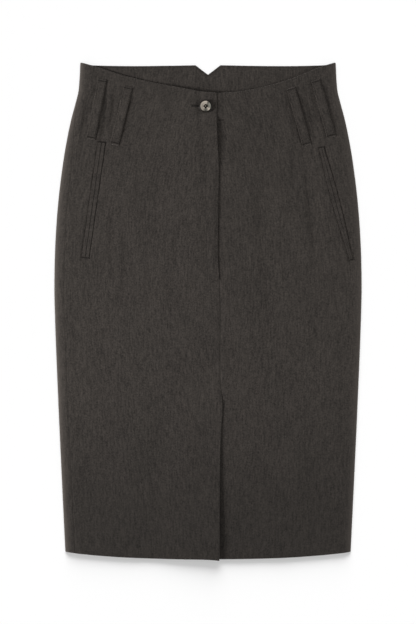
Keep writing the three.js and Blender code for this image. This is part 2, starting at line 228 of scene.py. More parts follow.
# Button: its middle, and its profile from the middle of its base round to the middle of its face
BUTTON_X = -0.0036
BUTTON_DOWN = 0.0664
BUTTON_PROFILE = (
    (0, 0), (0.0062, 0), (0.0076, 0.0003), (0.0089, 0.0009), (0.0096, 0.0016), (0.0097, 0.0021),
    (0.0093, 0.0027), (0.0086, 0.0032), (0.008, 0.0033), (0.0073, 0.0031), (0.0067, 0.0027),
    (0.006, 0.0024), (0.0052, 0.0022), (0.0042, 0.0021), (0.0028, 0.002), (0, 0.002),
)
BUTTON_SIDES = 96
BUTTON_HOLES = 4
HOLE_OFFSET = 0.0026
HOLE_RADIUS = 0.0007
DRILL_ENDS = (-0.002, 0.006)
STRAND_RADIUS = 0.00072
STRAND_ARCH = 0.001
STRAND_SINK = 0.0006
STRAND_FOOT = -0.0012

# Rows of stitches: places (across, down) that each row runs through
FLY_STITCH = (
    (-0.0136, 0.044), (-0.0117, 0.083), (-0.0047, 0.158), (-0.0032, 0.22), (-0.0024, 0.285), (-0.0014, 0.306),
    (0.0012, 0.317), (0.0058, 0.3242), (0.0118, 0.3275), (0.0168, 0.3284),
)
VENT_STITCH = ((-0.0052, 0.5115), (0.0085, 0.5062), (0.0205, 0.5025))
FACING_LINE = ((-0.052, 0.083), (-0.03, 0.0845), (-0.0135, 0.0855))
UNDER_FACING_LINE = ((0.016, 0.0865), (0.0235, 0.0862))
BUTTONHOLE = ((-0.0242, 0.0655), (-0.006, 0.0655))
BUTTONHOLE_HALF = 0.0009
BUTTONHOLE_TACK_HALF = 0.0018
BUTTONHOLE_THREAD = 0.0006
FLY_BAR_TACK = ((0.0176, 0.3185), (0.0177, 0.3255))
WAIST_ROW_HALF = 0.178
WAIST_ROW_DOWN = 0.0026
NOTCH_ROW_DOWN = 0.0007
HEM_ROW_RIGHT = (-0.19, 0.014)
HEM_ROW_LEFT = (0.021, 0.19)
HEM_STITCHES = {"Spacing": 0.0085, "Length": 0.0013}

# Heights of a row of stitches over the cloth
ON_CLOTH = 0.0001
IN_CLOTH = -0.00005
PULLED_IN = -0.0001

# The rounding of a free edge, of the edges that meet in a seam, and of the fold along the hem
EDGE_ROUND = 0.00065
SEAM_ROUND = 0.00025
HEM_ROUND = 0.001
RIM_STEPS = 6

# Distances from an edge of the extra rows and columns along it
EDGE_COLUMNS = (0.0055, 0.0042, 0.0031, 0.0022, 0.0014)
WAIST_ROWS = (EDGE_ROUND, 0.0014, 0.0024, 0.0036, 0.0052, 0.007)
HEM_ROWS = (
    0.0245, 0.0228, 0.0216, 0.0206, 0.0197, 0.0189, 0.0181, 0.0173, 0.0164, 0.0142, 0.0118, 0.0094, 0.007,
    0.005, 0.0034, 0.002, HEM_ROUND,
)
MEETING_PASSES = 6

# Rows lie further apart than columns, because the creases and most of the sewing run up and down. Columns
# round the side folds lie closer together.
ROW_STRETCH = 1.8
FOLD_FINENESS = 3
LEAST_FOLD_COLUMNS = 8

# How square the sides and faces of a strip's section are, and how wide the ridge inside its edges is
SECTION_SIDES = 0.28
SECTION_FACES = 0.4
RIDGE_SHARE = 0.09

# Grains of the heathered cloth: size across, size down, roughness, share in the tone, share in the relief
GRAINS = (
    (0.0022, 0.014, 0.55, 1.2, 1.0),
    (0.006, 0.0018, 0.55, 0.4, 0.5),
    (0.0022, 0.0024, 0.6, 1.5, 0.6),
    (0.03, 0.06, 0.55, 0.35, 0.0),
)
WEAVE_SHARE = 0.3
NOISE_TURN = (0.7, 0.5, 0.4)

# Painted shade darkens the cloth towards the hem (from, to, by how much), and a painted highlight makes the
# side folds paler, standing in for light on their rounded edges
HEM_SHADE = (0.46, 0.72, 0.31)
FOLD_HIGHLIGHT_SHARE = 0.68

# Button's face: its colours by the share of a turn, the horn's own clouds with painted light at the left and
# painted shade at the right and foot, then its ring, and its dark rim, which is painted shade round its edge,
# by their distance from the middle of its base
BUTTON_TURNS = (
    (0.0, "light"), (0.13, "light"), (0.19, "grey"), (0.25, "dark"), (0.31, "grey"), (0.36, "light"),
    (0.4, "light"), (0.45, "grey"), (0.6, "grey"), (0.65, "dark"), (0.71, "light"), (1.0, "light"),
)
RING_RADIUS = 0.0053
RING_HALF = 0.0008
RING_STRENGTH = 0.75
RIM_START = 0.0082
RIM_SOFTNESS = 0.0003

# Weave of the zip's tape
ZIGZAG_HALF = 0.0014
RIB_PITCH = 0.0009

# Lights: name, kind, place, angle or size, the setting for its power, and whether it reaches only the floor
# (INCLUDE) or all but the floor (EXCLUDE). Each points at the middle of the skirt.
LIGHTS = (
    ("light_top", "SUN", (-0.1, 2.0, 0.85), math.radians(40), "top_light", "INCLUDE"),
    ("light_over", "SUN", (0, 0, 2.0), math.radians(10), "floor_light", "INCLUDE"),
    ("light_left", "AREA", (-1.85, -0.02, 0.85), 0.7, "side_light", "EXCLUDE"),
    ("light_right", "AREA", (1.75, -0.05, 0.62), 0.7, "fill_light", "EXCLUDE"),
)
FLOOR_HALF = 5.0
FLOOR_HEIGHT = -0.0002
CAMERA_Y = 0.0003


def smooth_curve(knots):
    """A smooth curve through (at, value) pairs, level past both ends, with the slopes of its chords."""
    at, value = np.array(knots, float).T
    chord = np.diff(value) / np.diff(at)
    slope = (np.concatenate((chord[:1], chord)) + np.concatenate((chord, chord[-1:]))) / 2

    def evaluate(place):
        place = np.clip(place, at[0], at[-1])
        i = np.clip(np.searchsorted(at, place, side="right") - 1, 0, len(at) - 2)
        width = at[i + 1] - at[i]
        t = (place - at[i]) / width
        start = (1 + 2 * t) * (1 - t) ** 2 * value[i] + t * (1 - t) ** 2 * width * slope[i]
        end = t * t * (3 - 2 * t) * value[i + 1] - t * t * (1 - t) * width * slope[i + 1]
        return start + end

    return evaluate


def rise(at, slope):
    """From 0 to 1, smoothly, between the two ends of a slope."""
    t = np.clip((at - slope[0]) / (slope[1] - slope[0]), 0, 1)
    return t * t * (3 - 2 * t)


def fall(at, slope):
    return 1 - rise(at, slope)


def soft_end(at, end, softness=0.002):
    """1 before the end, and smoothly 0 past it."""
    return fall(at, (end - softness, end + softness))


def groove(distance, half_width):
    """1 on a line, and falling smoothly to nothing a little past its half width."""
    return np.exp(-((distance / half_width) ** 2))


def sunk(distance, size):
    """Depth of a trough along a line, from its size (depth, half width)."""
    return size[0] * groove(distance, size[1])


half_width = smooth_curve(OUTLINE)
front_waist = smooth_curve(FRONT_WAIST)
back_waist_plain = smooth_curve(BACK_WAIST)
over_edge = smooth_curve(OVER_EDGE)


def back_waist(x):
    return back_waist_plain(np.abs(x)) + NOTCH_DEPTH * np.maximum(0, 1 - np.abs(x) / NOTCH_HALF)


def hem_curve(x, bow):
    return HEM_SIDE + bow * (1 - (np.minimum(np.abs(x), HEM_HALF) / HEM_HALF) ** HEM_ROUNDNESS)


def front_hem(x):
    return hem_curve(x, FRONT_HEM_BOW)


def back_hem(x):
    return hem_curve(x, BACK_HEM_BOW)


def over_hem(x):
    to_edge = over_edge(LENGTH) - x
    return front_hem(x) + CORNER_DROOP * np.maximum(0, 1 - to_edge / CORNER_DROOP_WIDTH) ** 3


def under_edge(down):
    fly = FLY_EXTENSION * fall(down, FLY_EXTENSION_END)
    vent = VENT_UNDERLAP * rise(down, VENT_UNDERLAP_START)
    return over_edge(down) - fly - vent


# A side fold is half an ellipse. These give its turn by the length of cloth round it.
FOLD_TURNS = np.linspace(0, math.pi / 2, 61)
FOLD_LENGTHS = np.concatenate((
    [0],
    np.cumsum(np.hypot(
        np.diff(FOLD_REACH * np.cos(FOLD_TURNS)),
        np.diff(LAID_HEIGHT / 2 * np.sin(FOLD_TURNS)),
    )),
))
FOLD_LENGTH = FOLD_LENGTHS[-1]


def turned_by(down):
    return TURN * rise(down, (0, TURN_END))


def reach_of(side, down, x):
    return FOLD_LENGTH + half_width(down) - FOLD_REACH - side * x


def tube_point(side, down, reach, inside):
    """A point of the flattened tube, at a depth inside its outer face."""
    turn = np.sign(reach) * np.interp(np.abs(reach), FOLD_LENGTHS, FOLD_TURNS)
    past = np.maximum(0, np.abs(reach) - FOLD_LENGTH)
    x = half_width(down) - FOLD_REACH + (FOLD_REACH - inside) * np.cos(turn) - past
    z = LAID_HEIGHT / 2 + (LAID_HEIGHT / 2 - inside) * np.sin(turn)
    return side * x, LENGTH / 2 - down, z


def trough(creases, x, down):
    depth = 0
    for (x0, down0), (x1, down1), bow, deepest, reach in creases:
        t = np.clip((down - down0) / (down1 - down0), 0, 1)
        middle = x0 + (x1 - x0) * t + bow * 4 * t * (1 - t)
        spread = np.where(x < middle, reach, CREASE_SPREAD * reach)
        depth = depth + deepest * np.sin(math.pi * t) * groove(x - middle, spread)
    return depth


# Slow waves of laid cloth: wavelength across, wavelength down, phase, height
WAVES = (
    (0.083, 0.41, 0.4, 0.00012),
    (-0.131, 0.27, 2.1, 0.00014),
    (0.057, -0.33, 4.0, 0.00008),
    (0.24, 0.19, 1.2, 0.00012),
)


def unevenness(x, down):
    height = 0
    for across, along, phase, size in WAVES:
        height = height + size * np.sin(2 * math.pi * (x / across + down / along) + phase)
    return height


def line_distance(x, down, places):
    """Distance from each point to a bent line through the places."""
    nearest = np.full(np.shape(x), np.inf)
    for (x0, down0), (x1, down1) in zip(places, places[1:]):
        dx, dd = x1 - x0, down1 - down0
        t = np.clip(((x - x0) * dx + (down - down0) * dd) / (dx * dx + dd * dd), 0, 1)
        nearest = np.minimum(nearest, np.hypot(x - x0 - t * dx, down - down0 - t * dd))
    return nearest


def smooth_path(places, step):
    """Places on a smooth line through the given ones, about a step apart."""
    places = np.array(places, float)
    length = np.concatenate(([0], np.cumsum(np.hypot(*np.diff(places, axis=0).T))))
    at = np.linspace(0, length[-1], max(2, int(round(length[-1] / step)) + 1))
    across = smooth_curve(np.stack((length, places[:, 0]), axis=1))
    along = smooth_curve(np.stack((length, places[:, 1]), axis=1))
    return np.stack((across(at), along(at)), axis=1)


PATH_STEP = 0.0015
TACK_STEP = 0.001
RELIEF_STEP = 0.003
FLY_PATH = smooth_path(FLY_STITCH, RELIEF_STEP)
VENT_PATH = smooth_path(VENT_STITCH, RELIEF_STEP)
FACING_PATH = smooth_path(FACING_LINE, RELIEF_STEP)

# Relief of the sewing: depth and half width of the trough along each kind of row
STITCH_TROUGH = (0.0005, 0.0021)
FACING_SHARE = 0.8
FLY_TROUGH = (0.0011, 0.0004)
FLY_TROUGH_SLOPE = (0.13, 0.2)
FLY_TROUGH_WIDTH = (0.0042, 0.0065)
SEAM_TROUGH = (0.00014, 0.0016)
CENTRE_TROUGH = (0.0006, 0.0015)
HEM_TROUGH = (0.0005, 0.0026)
HEM_PUCKERS = ((0.0093, 0.6, 0.5), (0.0167, 2.2, 0.6), (0.0412, 4.1, 0.5))
HEM_STITCH = 0.0181
HEM_FULLNESS = 0.0002
SEAM_ALLOWANCE = 0.011
ALLOWANCE_RISE = 0.0003
DARTS = (((-0.092, -0.004), (-0.088, 0.128)), ((0.092, -0.004), (0.088, 0.124)))
DART_START = (0.012, 0.045)
CENTRE_SEAM = ((0.325, 0.345), (0.494, 0.51))
QUIET_FOLD = (0.006, 0.03)
OUT_OF_FOLD = (0.008, 0.013)
WAIST_DROOP = 0.0014
WAIST_DROOP_SLOPE = (0.001, 0.02)

# How near the front may come to the back below it, and how softly it stops there
LAID_CLEARANCE = 0.0001
LAID_SOFTNESS = 0.0004

# How far the side folds sag, and the reach over which the front cloth comes back up from that
FOLD_SAG = 0.0018
FOLD_SAG_REACH = 0.0085


def overlap_lift(x, down):
    """Height of the right front above the other panels, over the fly and the vent."""
    fly = fall(down, FLY_LIFT_END) * (FLY_LIFT + (FLY_TOP_LIFT - FLY_LIFT) * fall(down, FLY_TOP_END))
    hem = VENT_LIFT + (VENT_HEM_LIFT - VENT_LIFT) * rise(down, VENT_HEM_START)
    vent = rise(down, VENT_LIFT_START) * hem
    stand = rise(down, (VENT_UNDERLAP_START[1], LENGTH)) * VENT_STAND * rise(x, VENT_STAND_SLOPE)
    to_edge = over_edge(down) - x
    curl = FLY_CURL * rise(down, FLY_CURL_START) * fall(down, FLY_LIFT_END)
    curl = (curl + FLY_TOP_CURL * fall(down, UNDER_LIFT_END)) * fall(to_edge, (0, FLY_CURL_WIDTH))
    return rise(x, LIFT_SLOPE) * (fly + vent) + stand - curl


def seam_relief(distance):
    """A seam's trough, with the cloth a little raised over the pressed-open allowances beside it."""
    return ALLOWANCE_RISE * soft_end(distance, SEAM_ALLOWANCE) - sunk(distance, SEAM_TROUGH)


def hem_relief(x, from_foot):
    """The sewn line at the top of the turned-up hem, drawn in unevenly, and the fuller cloth below it."""
    drawn = 1
    for wavelength, phase, share in HEM_PUCKERS:
        drawn = drawn + share * np.sin(2 * math.pi * x / wavelength + phase)
    return HEM_FULLNESS * soft_end(from_foot, HEM_STITCH) - drawn * sunk(from_foot - HEM_STITCH, HEM_TROUGH)


def laid_relief(x, down, reach):
    """Creases and slow waves of all panels, fading out round the side folds. The front sinks no further than
    the back below it allows."""
    droop = WAIST_DROOP * fall(down - front_waist(x), WAIST_DROOP_SLOPE)
    front = unevenness(x, down) - trough(FRONT_CREASES, x, down) - droop
    back = unevenness(x, down) + sum(size for *_, size in WAVES) + trough(BACK_CREASES, x, down)
    lowest = back - (LAID_HEIGHT - 2 * CLOTH) + LAID_CLEARANCE
    front = (front + lowest + np.hypot(front - lowest, LAID_SOFTNESS)) / 2
    return rise(np.abs(reach), QUIET_FOLD) * np.where(reach > 0, front, back)


def fold_sag(reach):
    """How far the cloth sinks by a side fold: most in the fold, and nothing where it lies on the floor."""
    return FOLD_SAG * np.exp(-np.maximum(reach, 0) / FOLD_SAG_REACH) * fall(-reach, (0, FOLD_LENGTH))


def pocket_relief(x, down):
    """The bed that a pocket's welts lie in."""
    beds = [fall(line_distance(x, down, ends), POCKET_SINK_EDGE) for ends in POCKETS.values()]
    return -POCKET_SINK * sum(beds)


def centre_front_relief(x, down):
    """The seam between the fly and the vent."""
    shown = rise(down, CENTRE_SEAM[0]) * fall(down, CENTRE_SEAM[1])
    distance = np.abs(x - over_edge(down))
    return shown * (seam_relief(distance) - sunk(distance, CENTRE_TROUGH))


def over_relief(x, down, reach):
    """Right front."""
    fly_depth = FLY_TROUGH[1] + (FLY_TROUGH[0] - FLY_TROUGH[1]) * fall(down, FLY_TROUGH_SLOPE)
    fly_width = np.where(x < np.interp(down, FLY_PATH[:, 1], FLY_PATH[:, 0]), *FLY_TROUGH_WIDTH)
    fly = fly_depth * groove(line_distance(x, down, FLY_PATH), fly_width)
    vent = sunk(line_distance(x, down, VENT_PATH), STITCH_TROUGH)
    facing = FACING_SHARE * sunk(line_distance(x, down, FACING_PATH), STITCH_TROUGH)
    sewn = centre_front_relief(x, down) + pocket_relief(x, down) - fly - vent - facing
    return laid_relief(x, down, reach) + overlap_lift(x, down) + sewn


def under_relief(x, down, reach):
    """Left front."""
    lift = UNDER_LIFT * rise(x, UNDER_LIFT_RISE) * fall(x, UNDER_LIFT_FALL) * fall(down, UNDER_LIFT_END)
    return laid_relief(x, down, reach) + centre_front_relief(x, down) + pocket_relief(x, down) + lift


def back_relief(x, down, reach):
    """Both halves of the back, with a dart in each."""
    darts = sum(sunk(line_distance(x, down, places), STITCH_TROUGH) for places in DARTS)
    return laid_relief(x, down, reach) + np.where(reach < 0, darts * rise(down, DART_START), 0)


def front_height(x, down, relief):
    """Height of the outer face of a front panel with the given relief."""
    x = np.asarray(x, float)
    reach = reach_of(1, down, np.abs(x))
    return LAID_HEIGHT + relief(x, down, reach) - fold_sag(reach)


def under_top(x, down):
    """Height of the left front's outer face, also where the right front covers it."""
    return front_height(x, down, under_relief)


def front_top(x, down):
    """Height of the topmost front cloth."""
    return np.where(x < over_edge(down), front_height(x, down, over_relief), under_top(x, down))


def back_inside(x, down):
    """Height of the back's inner face, which shows above the front waist edge."""
    x = np.asarray(x, float)
    return CLOTH + back_relief(x, down, -reach_of(1, down, np.abs(x)))


def cut_panel(name, side, fold_end, waist, hem, relief, free_edge=None, loops=()):
    """One panel of the cut. A back panel lies on the floor and ends at the centre-back seam. A front panel
    lies on the back, ends at its free edge, and carries a pocket and belt loops."""
    rests_on, carries = ["floor"], []
    if free_edge:
        rests_on = ["back_right_cloth", "back_left_cloth"]
        carries = [name.replace("front", "pocket") + f"_{place}_welt_cloth" for place in ("outer", "inner")]
        carries += [f"belt_loop_{index}_cloth" for index in loops]

    def edge(down):
        if free_edge:
            return reach_of(side, down, free_edge(down))
        return -reach_of(side, down, -turned_by(down))

    return SimpleNamespace(
        name=name, side=side, seam=lambda down: -side * turned_by(down), edge=edge,
        edge_is_seam=not free_edge, fold_end=fold_end, waist=waist, hem=hem, relief=relief,
        rests_on=rests_on, carries=carries,
    )


PANELS = (
    cut_panel("back_right", -1, -0.014, back_waist, back_hem, back_relief),
    cut_panel("back_left", 1, -0.022, back_waist, back_hem, back_relief),
    cut_panel("front_right", -1, 0.024, front_waist, over_hem, over_relief, over_edge, (1, 2)),
    cut_panel("front_left", 1, 0.014, front_waist, front_hem, under_relief, under_edge, (3, 4)),
)


def in_space(x, down, z):
    """3D points from places across and down, and heights."""
    return np.stack((x, LENGTH / 2 - down, z), axis=-1)


def new_piece(name, points, faces, material, uv=None):
    """A mesh object from points and faces, with its faces pointing out and a UV place for each point."""
    points = np.asarray(points, float)
    mesh = bpy.data.meshes.new(name)
    mesh.from_pydata(points.tolist(), [], [list(face) for face in faces])
    mesh.calc_loop_triangles()
    corners = np.empty(len(mesh.loop_triangles) * 3, int)
    mesh.loop_triangles.foreach_get("vertices", corners)
    a, b, c = points[corners.reshape(-1, 3)].transpose(1, 0, 2)
    if np.einsum("ij,ij->i", a, np.cross(b, c)).sum() < 0:
        mesh.flip_normals()
    if uv is not None:
        at = np.empty(len(mesh.loops), int)
        mesh.loops.foreach_get("vertex_index", at)
        layer = mesh.uv_layers.new(name=CLOTH_UV)
        layer.data.foreach_set("uv", np.asarray(uv, np.float32)[at].ravel())
    mesh.shade_smooth()
    mesh.materials.append(material)
    piece = bpy.data.objects.new(name, mesh)
    bpy.context.collection.objects.link(piece)
    return piece


def finish_piece(piece, slot, *nodes):
    """Ties a finished piece to the frame."""
    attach(piece, "root")
    if nodes:
        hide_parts(*nodes)


def column_plan(panel, step):
    """How much of its side seam, fold end and inner edge, and what offset, makes up each column's reach."""
    towards = 1 if panel.edge(0) > panel.seam(0) else -1
    fold_width = abs(panel.fold_end - panel.seam(LENGTH))
    fold_columns = int(fold_width / (step / FOLD_FINENESS)) + LEAST_FOLD_COLUMNS
    middle_columns = int(abs(panel.edge(LENGTH / 2) - panel.fold_end) / step)
    end_round = SEAM_ROUND if panel.edge_is_seam else EDGE_ROUND
    plan = [
        (1 - share, share, 0, towards * SEAM_ROUND * (1 - share))
        for share in np.linspace(0, 1, fold_columns, endpoint=False)
    ]
    plan += [
        (0, 1 - share, share, -towards * EDGE_COLUMNS[0] * share)
        for share in np.linspace(0, 1, middle_columns, endpoint=False)
    ]
    plan += [(0, 0, 1, -towards * distance) for distance in (*EDGE_COLUMNS, end_round)]
    return np.array(plan), towards, end_round


def row_plan(step):
    """What share of the way from waist to hem, and what offset, gives each row."""
    plan = [(0, distance) for distance in WAIST_ROWS[:-1]]
    for share in np.linspace(0, 1, int(LENGTH / step), endpoint=False):
        plan.append((share, WAIST_ROWS[-1] * (1 - share) - HEM_ROWS[0] * share))
    plan += [(1, -distance) for distance in HEM_ROWS]
    return np.array(plan)


def column_reach(panel, plan, down):
    from_seam, from_fold, from_edge, offset = plan.T
    return from_seam * panel.seam(down) + from_fold * panel.fold_end + from_edge * panel.edge(down) + offset


def meeting(panel, plan, edge):
    """Distance down at which each column meets the waist or hem edge."""
    down = np.full(len(plan), float(edge(0.0)))
    for _ in range(MEETING_PASSES):
        x, _, _ = tube_point(panel.side, down, column_reach(panel, plan, down), 0)
        down = edge(x)
    return down


def wall_offset(panel, x, down, reach):
    """All the relief of a panel at a point."""
    out_of_fold = rise(np.abs(reach), OUT_OF_FOLD)
    side_seam = seam_relief(np.abs(reach - panel.seam(down)))
    inner_seam = seam_relief(np.abs(reach - panel.edge(down))) if panel.edge_is_seam else 0
    hem = hem_relief(x, panel.hem(x) - down)
    offset = panel.relief(x, down, reach) + np.sign(reach) * out_of_fold * (side_seam + inner_seam + hem)
    return np.where(reach < 0, np.maximum(offset, 0), offset) - fold_sag(reach)


def grid_faces(rows, columns, start, flip):
    row, column = np.meshgrid(np.arange(rows - 1), np.arange(columns - 1), indexing="ij")
    a = (start + row * columns + column).ravel()
    quads = np.stack((a, a + columns, a + columns + 1, a + 1), axis=1)
    return quads[:, ::-1] if flip else quads


def panel_piece(panel, step, material):
    """One cut piece of cloth as a thin closed shell with rounded edges, with its flat size and area."""
    plan, towards, end_round = column_plan(panel, step)
    rows = row_plan(step * ROW_STRETCH)
    top, foot = meeting(panel, plan, panel.waist), meeting(panel, plan, panel.hem)
    down = top + (foot - top) * rows[:, :1] + rows[:, 1:]
    reach = column_reach(panel, plan, down)
    thickness = CLOTH + (HEM_CLOTH - CLOTH) * soft_end(foot - down, HEM_DEPTH, HEM_SOFTNESS)

    def placed(down, reach, inside, home_down, home_reach):
        x, y, z = tube_point(panel.side, down, reach, inside)
        home_x, _, _ = tube_point(panel.side, home_down, home_reach, 0)
        z = np.maximum(z + wall_offset(panel, home_x, home_down, home_reach), 0)
        return np.stack((x, y, z), axis=-1).reshape(-1, 3)

    count, width = down.shape
    index = np.arange(count * width).reshape(count, width)
    border = np.concatenate((index[0, :], index[1:, -1], index[-1, -2::-1], index[-2:0:-1, 0]))
    row, column = border // width, border % width
    outward = towards * (end_round * (column == width - 1) - SEAM_ROUND * (column == 0))
    downward = HEM_ROUND * (row == count - 1) - EDGE_ROUND * (row == 0)
    edge_down, edge_reach, edge_thickness = (values.ravel()[border] for values in (down, reach, thickness))
    layers = [placed(down, reach, 0 * down, down, reach), placed(down, reach, thickness, down, reach)]
    loops = [border]
    for angle in np.linspace(0, math.pi, RIM_STEPS + 1)[1:-1]:
        loops.append(sum(map(len, layers)) + np.arange(len(border)))
        layers.append(placed(
            edge_down + downward * math.sin(angle),
            edge_reach + outward * math.sin(angle),
            edge_thickness * (1 - math.cos(angle)) / 2,
            edge_down,
            edge_reach,
        ))
    loops.append(count * width + border)
    faces = [grid_faces(count, width, 0, False), grid_faces(count, width, count * width, True)]
    for near, far in zip(loops, loops[1:]):
        faces.append(np.stack((near, np.roll(near, -1), np.roll(far, -1), far), axis=1))
    uv = np.stack((panel.side * reach.ravel(), down.ravel()), axis=1)
    uv = np.concatenate((uv, uv, *[uv[border]] * (RIM_STEPS - 1)))
    piece = new_piece(f"{panel.name}_cloth", np.concatenate(layers), np.concatenate(faces), material, uv)
    finish_piece(piece, "cloth", panel.name)
    flat = (float(np.ptp(reach, axis=1).max() + 2 * EDGE_ROUND), float(LENGTH + HEM_DEPTH))
    across = np.abs(np.diff(reach, axis=1))
    area = float((across[1:] * np.diff(down, axis=0)[:, 1:]).sum() + HEM_DEPTH * np.ptp(reach[-1]))
    return SimpleNamespace(piece=piece, flat=flat, area=area)


def rounded_section(width, thick, corners, ridge=0.0):
    """A closed flat section with round edges, as (sideways, up) from the middle of its base. A ridge raises
    its upper face just inside both edges."""
    angle = np.linspace(0, 2 * math.pi, corners, endpoint=False)
    side = width / 2 * np.sign(np.cos(angle)) * np.abs(np.cos(angle)) ** SECTION_SIDES
    up = thick / 2 * (1 + np.sign(np.sin(angle)) * np.abs(np.sin(angle)) ** SECTION_FACES)
    raised = ridge * groove(np.abs(side) - width * EDGE_ROW_SHARE, width * RIDGE_SHARE) * (up > thick / 2)
    return np.stack((side, up + raised), axis=1)


# Where a strip starts across the cloth, away from the painted highlight of the folds, and how its ends round
# off
STRIP_PLACE = 0.1
STRIP_END_TURNS = np.linspace(0.35, math.pi / 2, 4)
STRIP_END_NARROWING = 0.1


def full_width(share):
    return 1 + 0 * share


def narrow_ends(share):
    """Share of their width that the left pocket's welts keep along it."""
    return 1 - NARROW_HEAD * fall(share, NARROW_HEAD_END) - NARROW_FOOT * rise(share, NARROW_FOOT_START)


def strip_places(ends, shift, shares):
    """Places on a strip at shares of its length, a distance to its side."""
    (x0, down0), (x1, down1) = ends
    length = math.dist(*ends)
    x = x0 + (x1 - x0) * shares + (down1 - down0) / length * shift
    down = down0 + (down1 - down0) * shares - (x1 - x0) / length * shift
    return x, down


def tube_faces(rings, sides):
    """Faces of a tube with that many rings of points, and last its two end faces."""
    faces = []
    for start in range(0, (rings - 1) * sides, sides):
        for side in range(sides):
            right = (side + 1) % sides
            faces.append((start + side, start + right, start + sides + right, start + sides + side))
    return faces + [tuple(range(sides))[::-1], tuple(range((rings - 1) * sides, rings * sides))]


def laid_strip(name, ends, shift, section, ground, lift, material, step=0.0015, width=full_width):
    """A narrow closed strip between two places, lying on the ground beneath it and rounded at both ends."""
    length = math.dist(*ends)
    thick = np.ptp(section[:, 1])
    rounding = thick / 2 * (1 - np.cos(STRIP_END_TURNS))
    middle = np.linspace(thick, length - thick, int(length / step))
    along = np.concatenate((rounding, middle, length - rounding[::-1]))[:, None]
    share = along / length
    to_end = np.minimum(along, length - along) / (thick / 2)
    round_off = np.sqrt(np.clip(1 - (1 - np.clip(to_end, 0, 1)) ** 2, 0, 1))
    narrowed = 1 - STRIP_END_NARROWING * (1 - round_off)
    side = (shift + section[:, 0] * narrowed) * width(share)
    up = thick / 2 + (section[:, 1] - thick / 2) * round_off
    x, down = strip_places(ends, side, share)
    points = in_space(x, down, ground(x, down) + LAID_GAP + lift(share) + up).reshape(-1, 3)
    girth = STRIP_PLACE + np.concatenate(([0], np.cumsum(np.hypot(*np.diff(section, axis=0).T))))
    uv = np.stack(np.broadcast_arrays(girth, along), axis=-1).reshape(-1, 2)
    return new_piece(name, points, tube_faces(*x.shape), material, uv)


def no_lift(share):
    return 0 * share


def loop_lift(share):
    return LOOP_ARCH * rise(np.minimum(share, 1 - share), LOOP_RISE)


def slider_lift(share):
    """The slider is highest a little before its middle."""
    return TAPE_CLOTH + SLIDER_LIFT - SLIDER_SLOPE * np.abs(share - SLIDER_CREST)


def pull_lift(share):
    """The pull comes down from the slider onto the tape."""
    return TAPE_CLOTH + PULL_LIFT - PULL_DROP * rise(share, PULL_DROP_SLOPE)


def lathe(name, profile, sides, centre, material):
    """A turned solid about a vertical line through its centre, closed on its axis at both ends."""
    points = []
    for radius, height in profile[1:-1]:
        for side in range(sides):
            angle = 2 * math.pi * side / sides
            points.append((radius * math.cos(angle), radius * math.sin(angle), height))
    faces = tube_faces(len(profile) - 2, sides)[:-2]
    base, face = len(points), len(points) + 1
    last = (len(profile) - 3) * sides
    points += [(0, 0, profile[0][1]), (0, 0, profile[-1][1])]
    for side in range(sides):
        right = (side + 1) % sides
        faces.append((base, right, side))
        faces.append((face, last + side, last + right))
    return new_piece(name, np.array(points) + np.array(centre), faces, material)


# A direction that no bar runs in
ASKEW = Vector((0.31, 0.17, 0.93))


def tube(name, path, radius, sides, material):
    """A round bar along a line of points, with closed ends."""
    path = np.array(path, float)
    points = []
    for index, middle in enumerate(path):
        along = Vector(path[min(index + 1, len(path) - 1)] - path[max(index - 1, 0)]).normalized()
        across = along.cross(ASKEW).normalized()
        upward = along.cross(across)
        for side in range(sides):
            angle = 2 * math.pi * side / sides
            points.append(Vector(middle) + radius * (math.cos(angle) * across + math.sin(angle) * upward))
    return new_piece(name, [tuple(point) for point in points], tube_faces(len(path), sides), material)


def joined(name, pieces):
    """One object from several."""
    with bpy.context.temp_override(active_object=pieces[0], selected_editable_objects=pieces):
        bpy.ops.object.join()
    pieces[0].name = name
    return pieces[0]


def applied(piece):
    """The piece with its modifiers made part of a plain mesh."""
    evaluated = piece.evaluated_get(bpy.context.evaluated_depsgraph_get())
    mesh = bpy.data.meshes.new_from_object(evaluated)
    piece.modifiers.clear()
    old = piece.data
    piece.data = mesh
    bpy.data.meshes.remove(old)
    return piece


def set_inputs(tree, node, **inputs):
    """Sets inputs of a node by name, with _ for a space, or by number behind a _. Each is a value or another
    node's output."""
    for key, value in inputs.items():
        socket = node.inputs[int(key[1:])] if key[0] == "_" else node.inputs[key.replace("_", " ")]
        if isinstance(value, bpy.types.NodeSocket):
            tree.links.new(value, socket)
        else:
            socket.default_value = value


def add_node(tree, kind, settings=None, **inputs):
    """A new node with its settings and inputs."""
    node = tree.nodes.new(kind)
    for key, value in (settings or {}).items():
        setattr(node, key, value)
    set_inputs(tree, node, **inputs)
    return node


STITCH_INPUTS = (
    ("Spacing", "NodeSocketFloat", 0.003),
    ("Length", "NodeSocketFloat", 0.0024),
    ("Thickness", "NodeSocketFloat", 0.0005),
    ("Turn", "NodeSocketFloat", 0.0),
    ("Unevenness", "NodeSocketFloat", 0.08),
    ("Seed", "NodeSocketInt", 7),
    ("Thread", "NodeSocketMaterial", None),
)


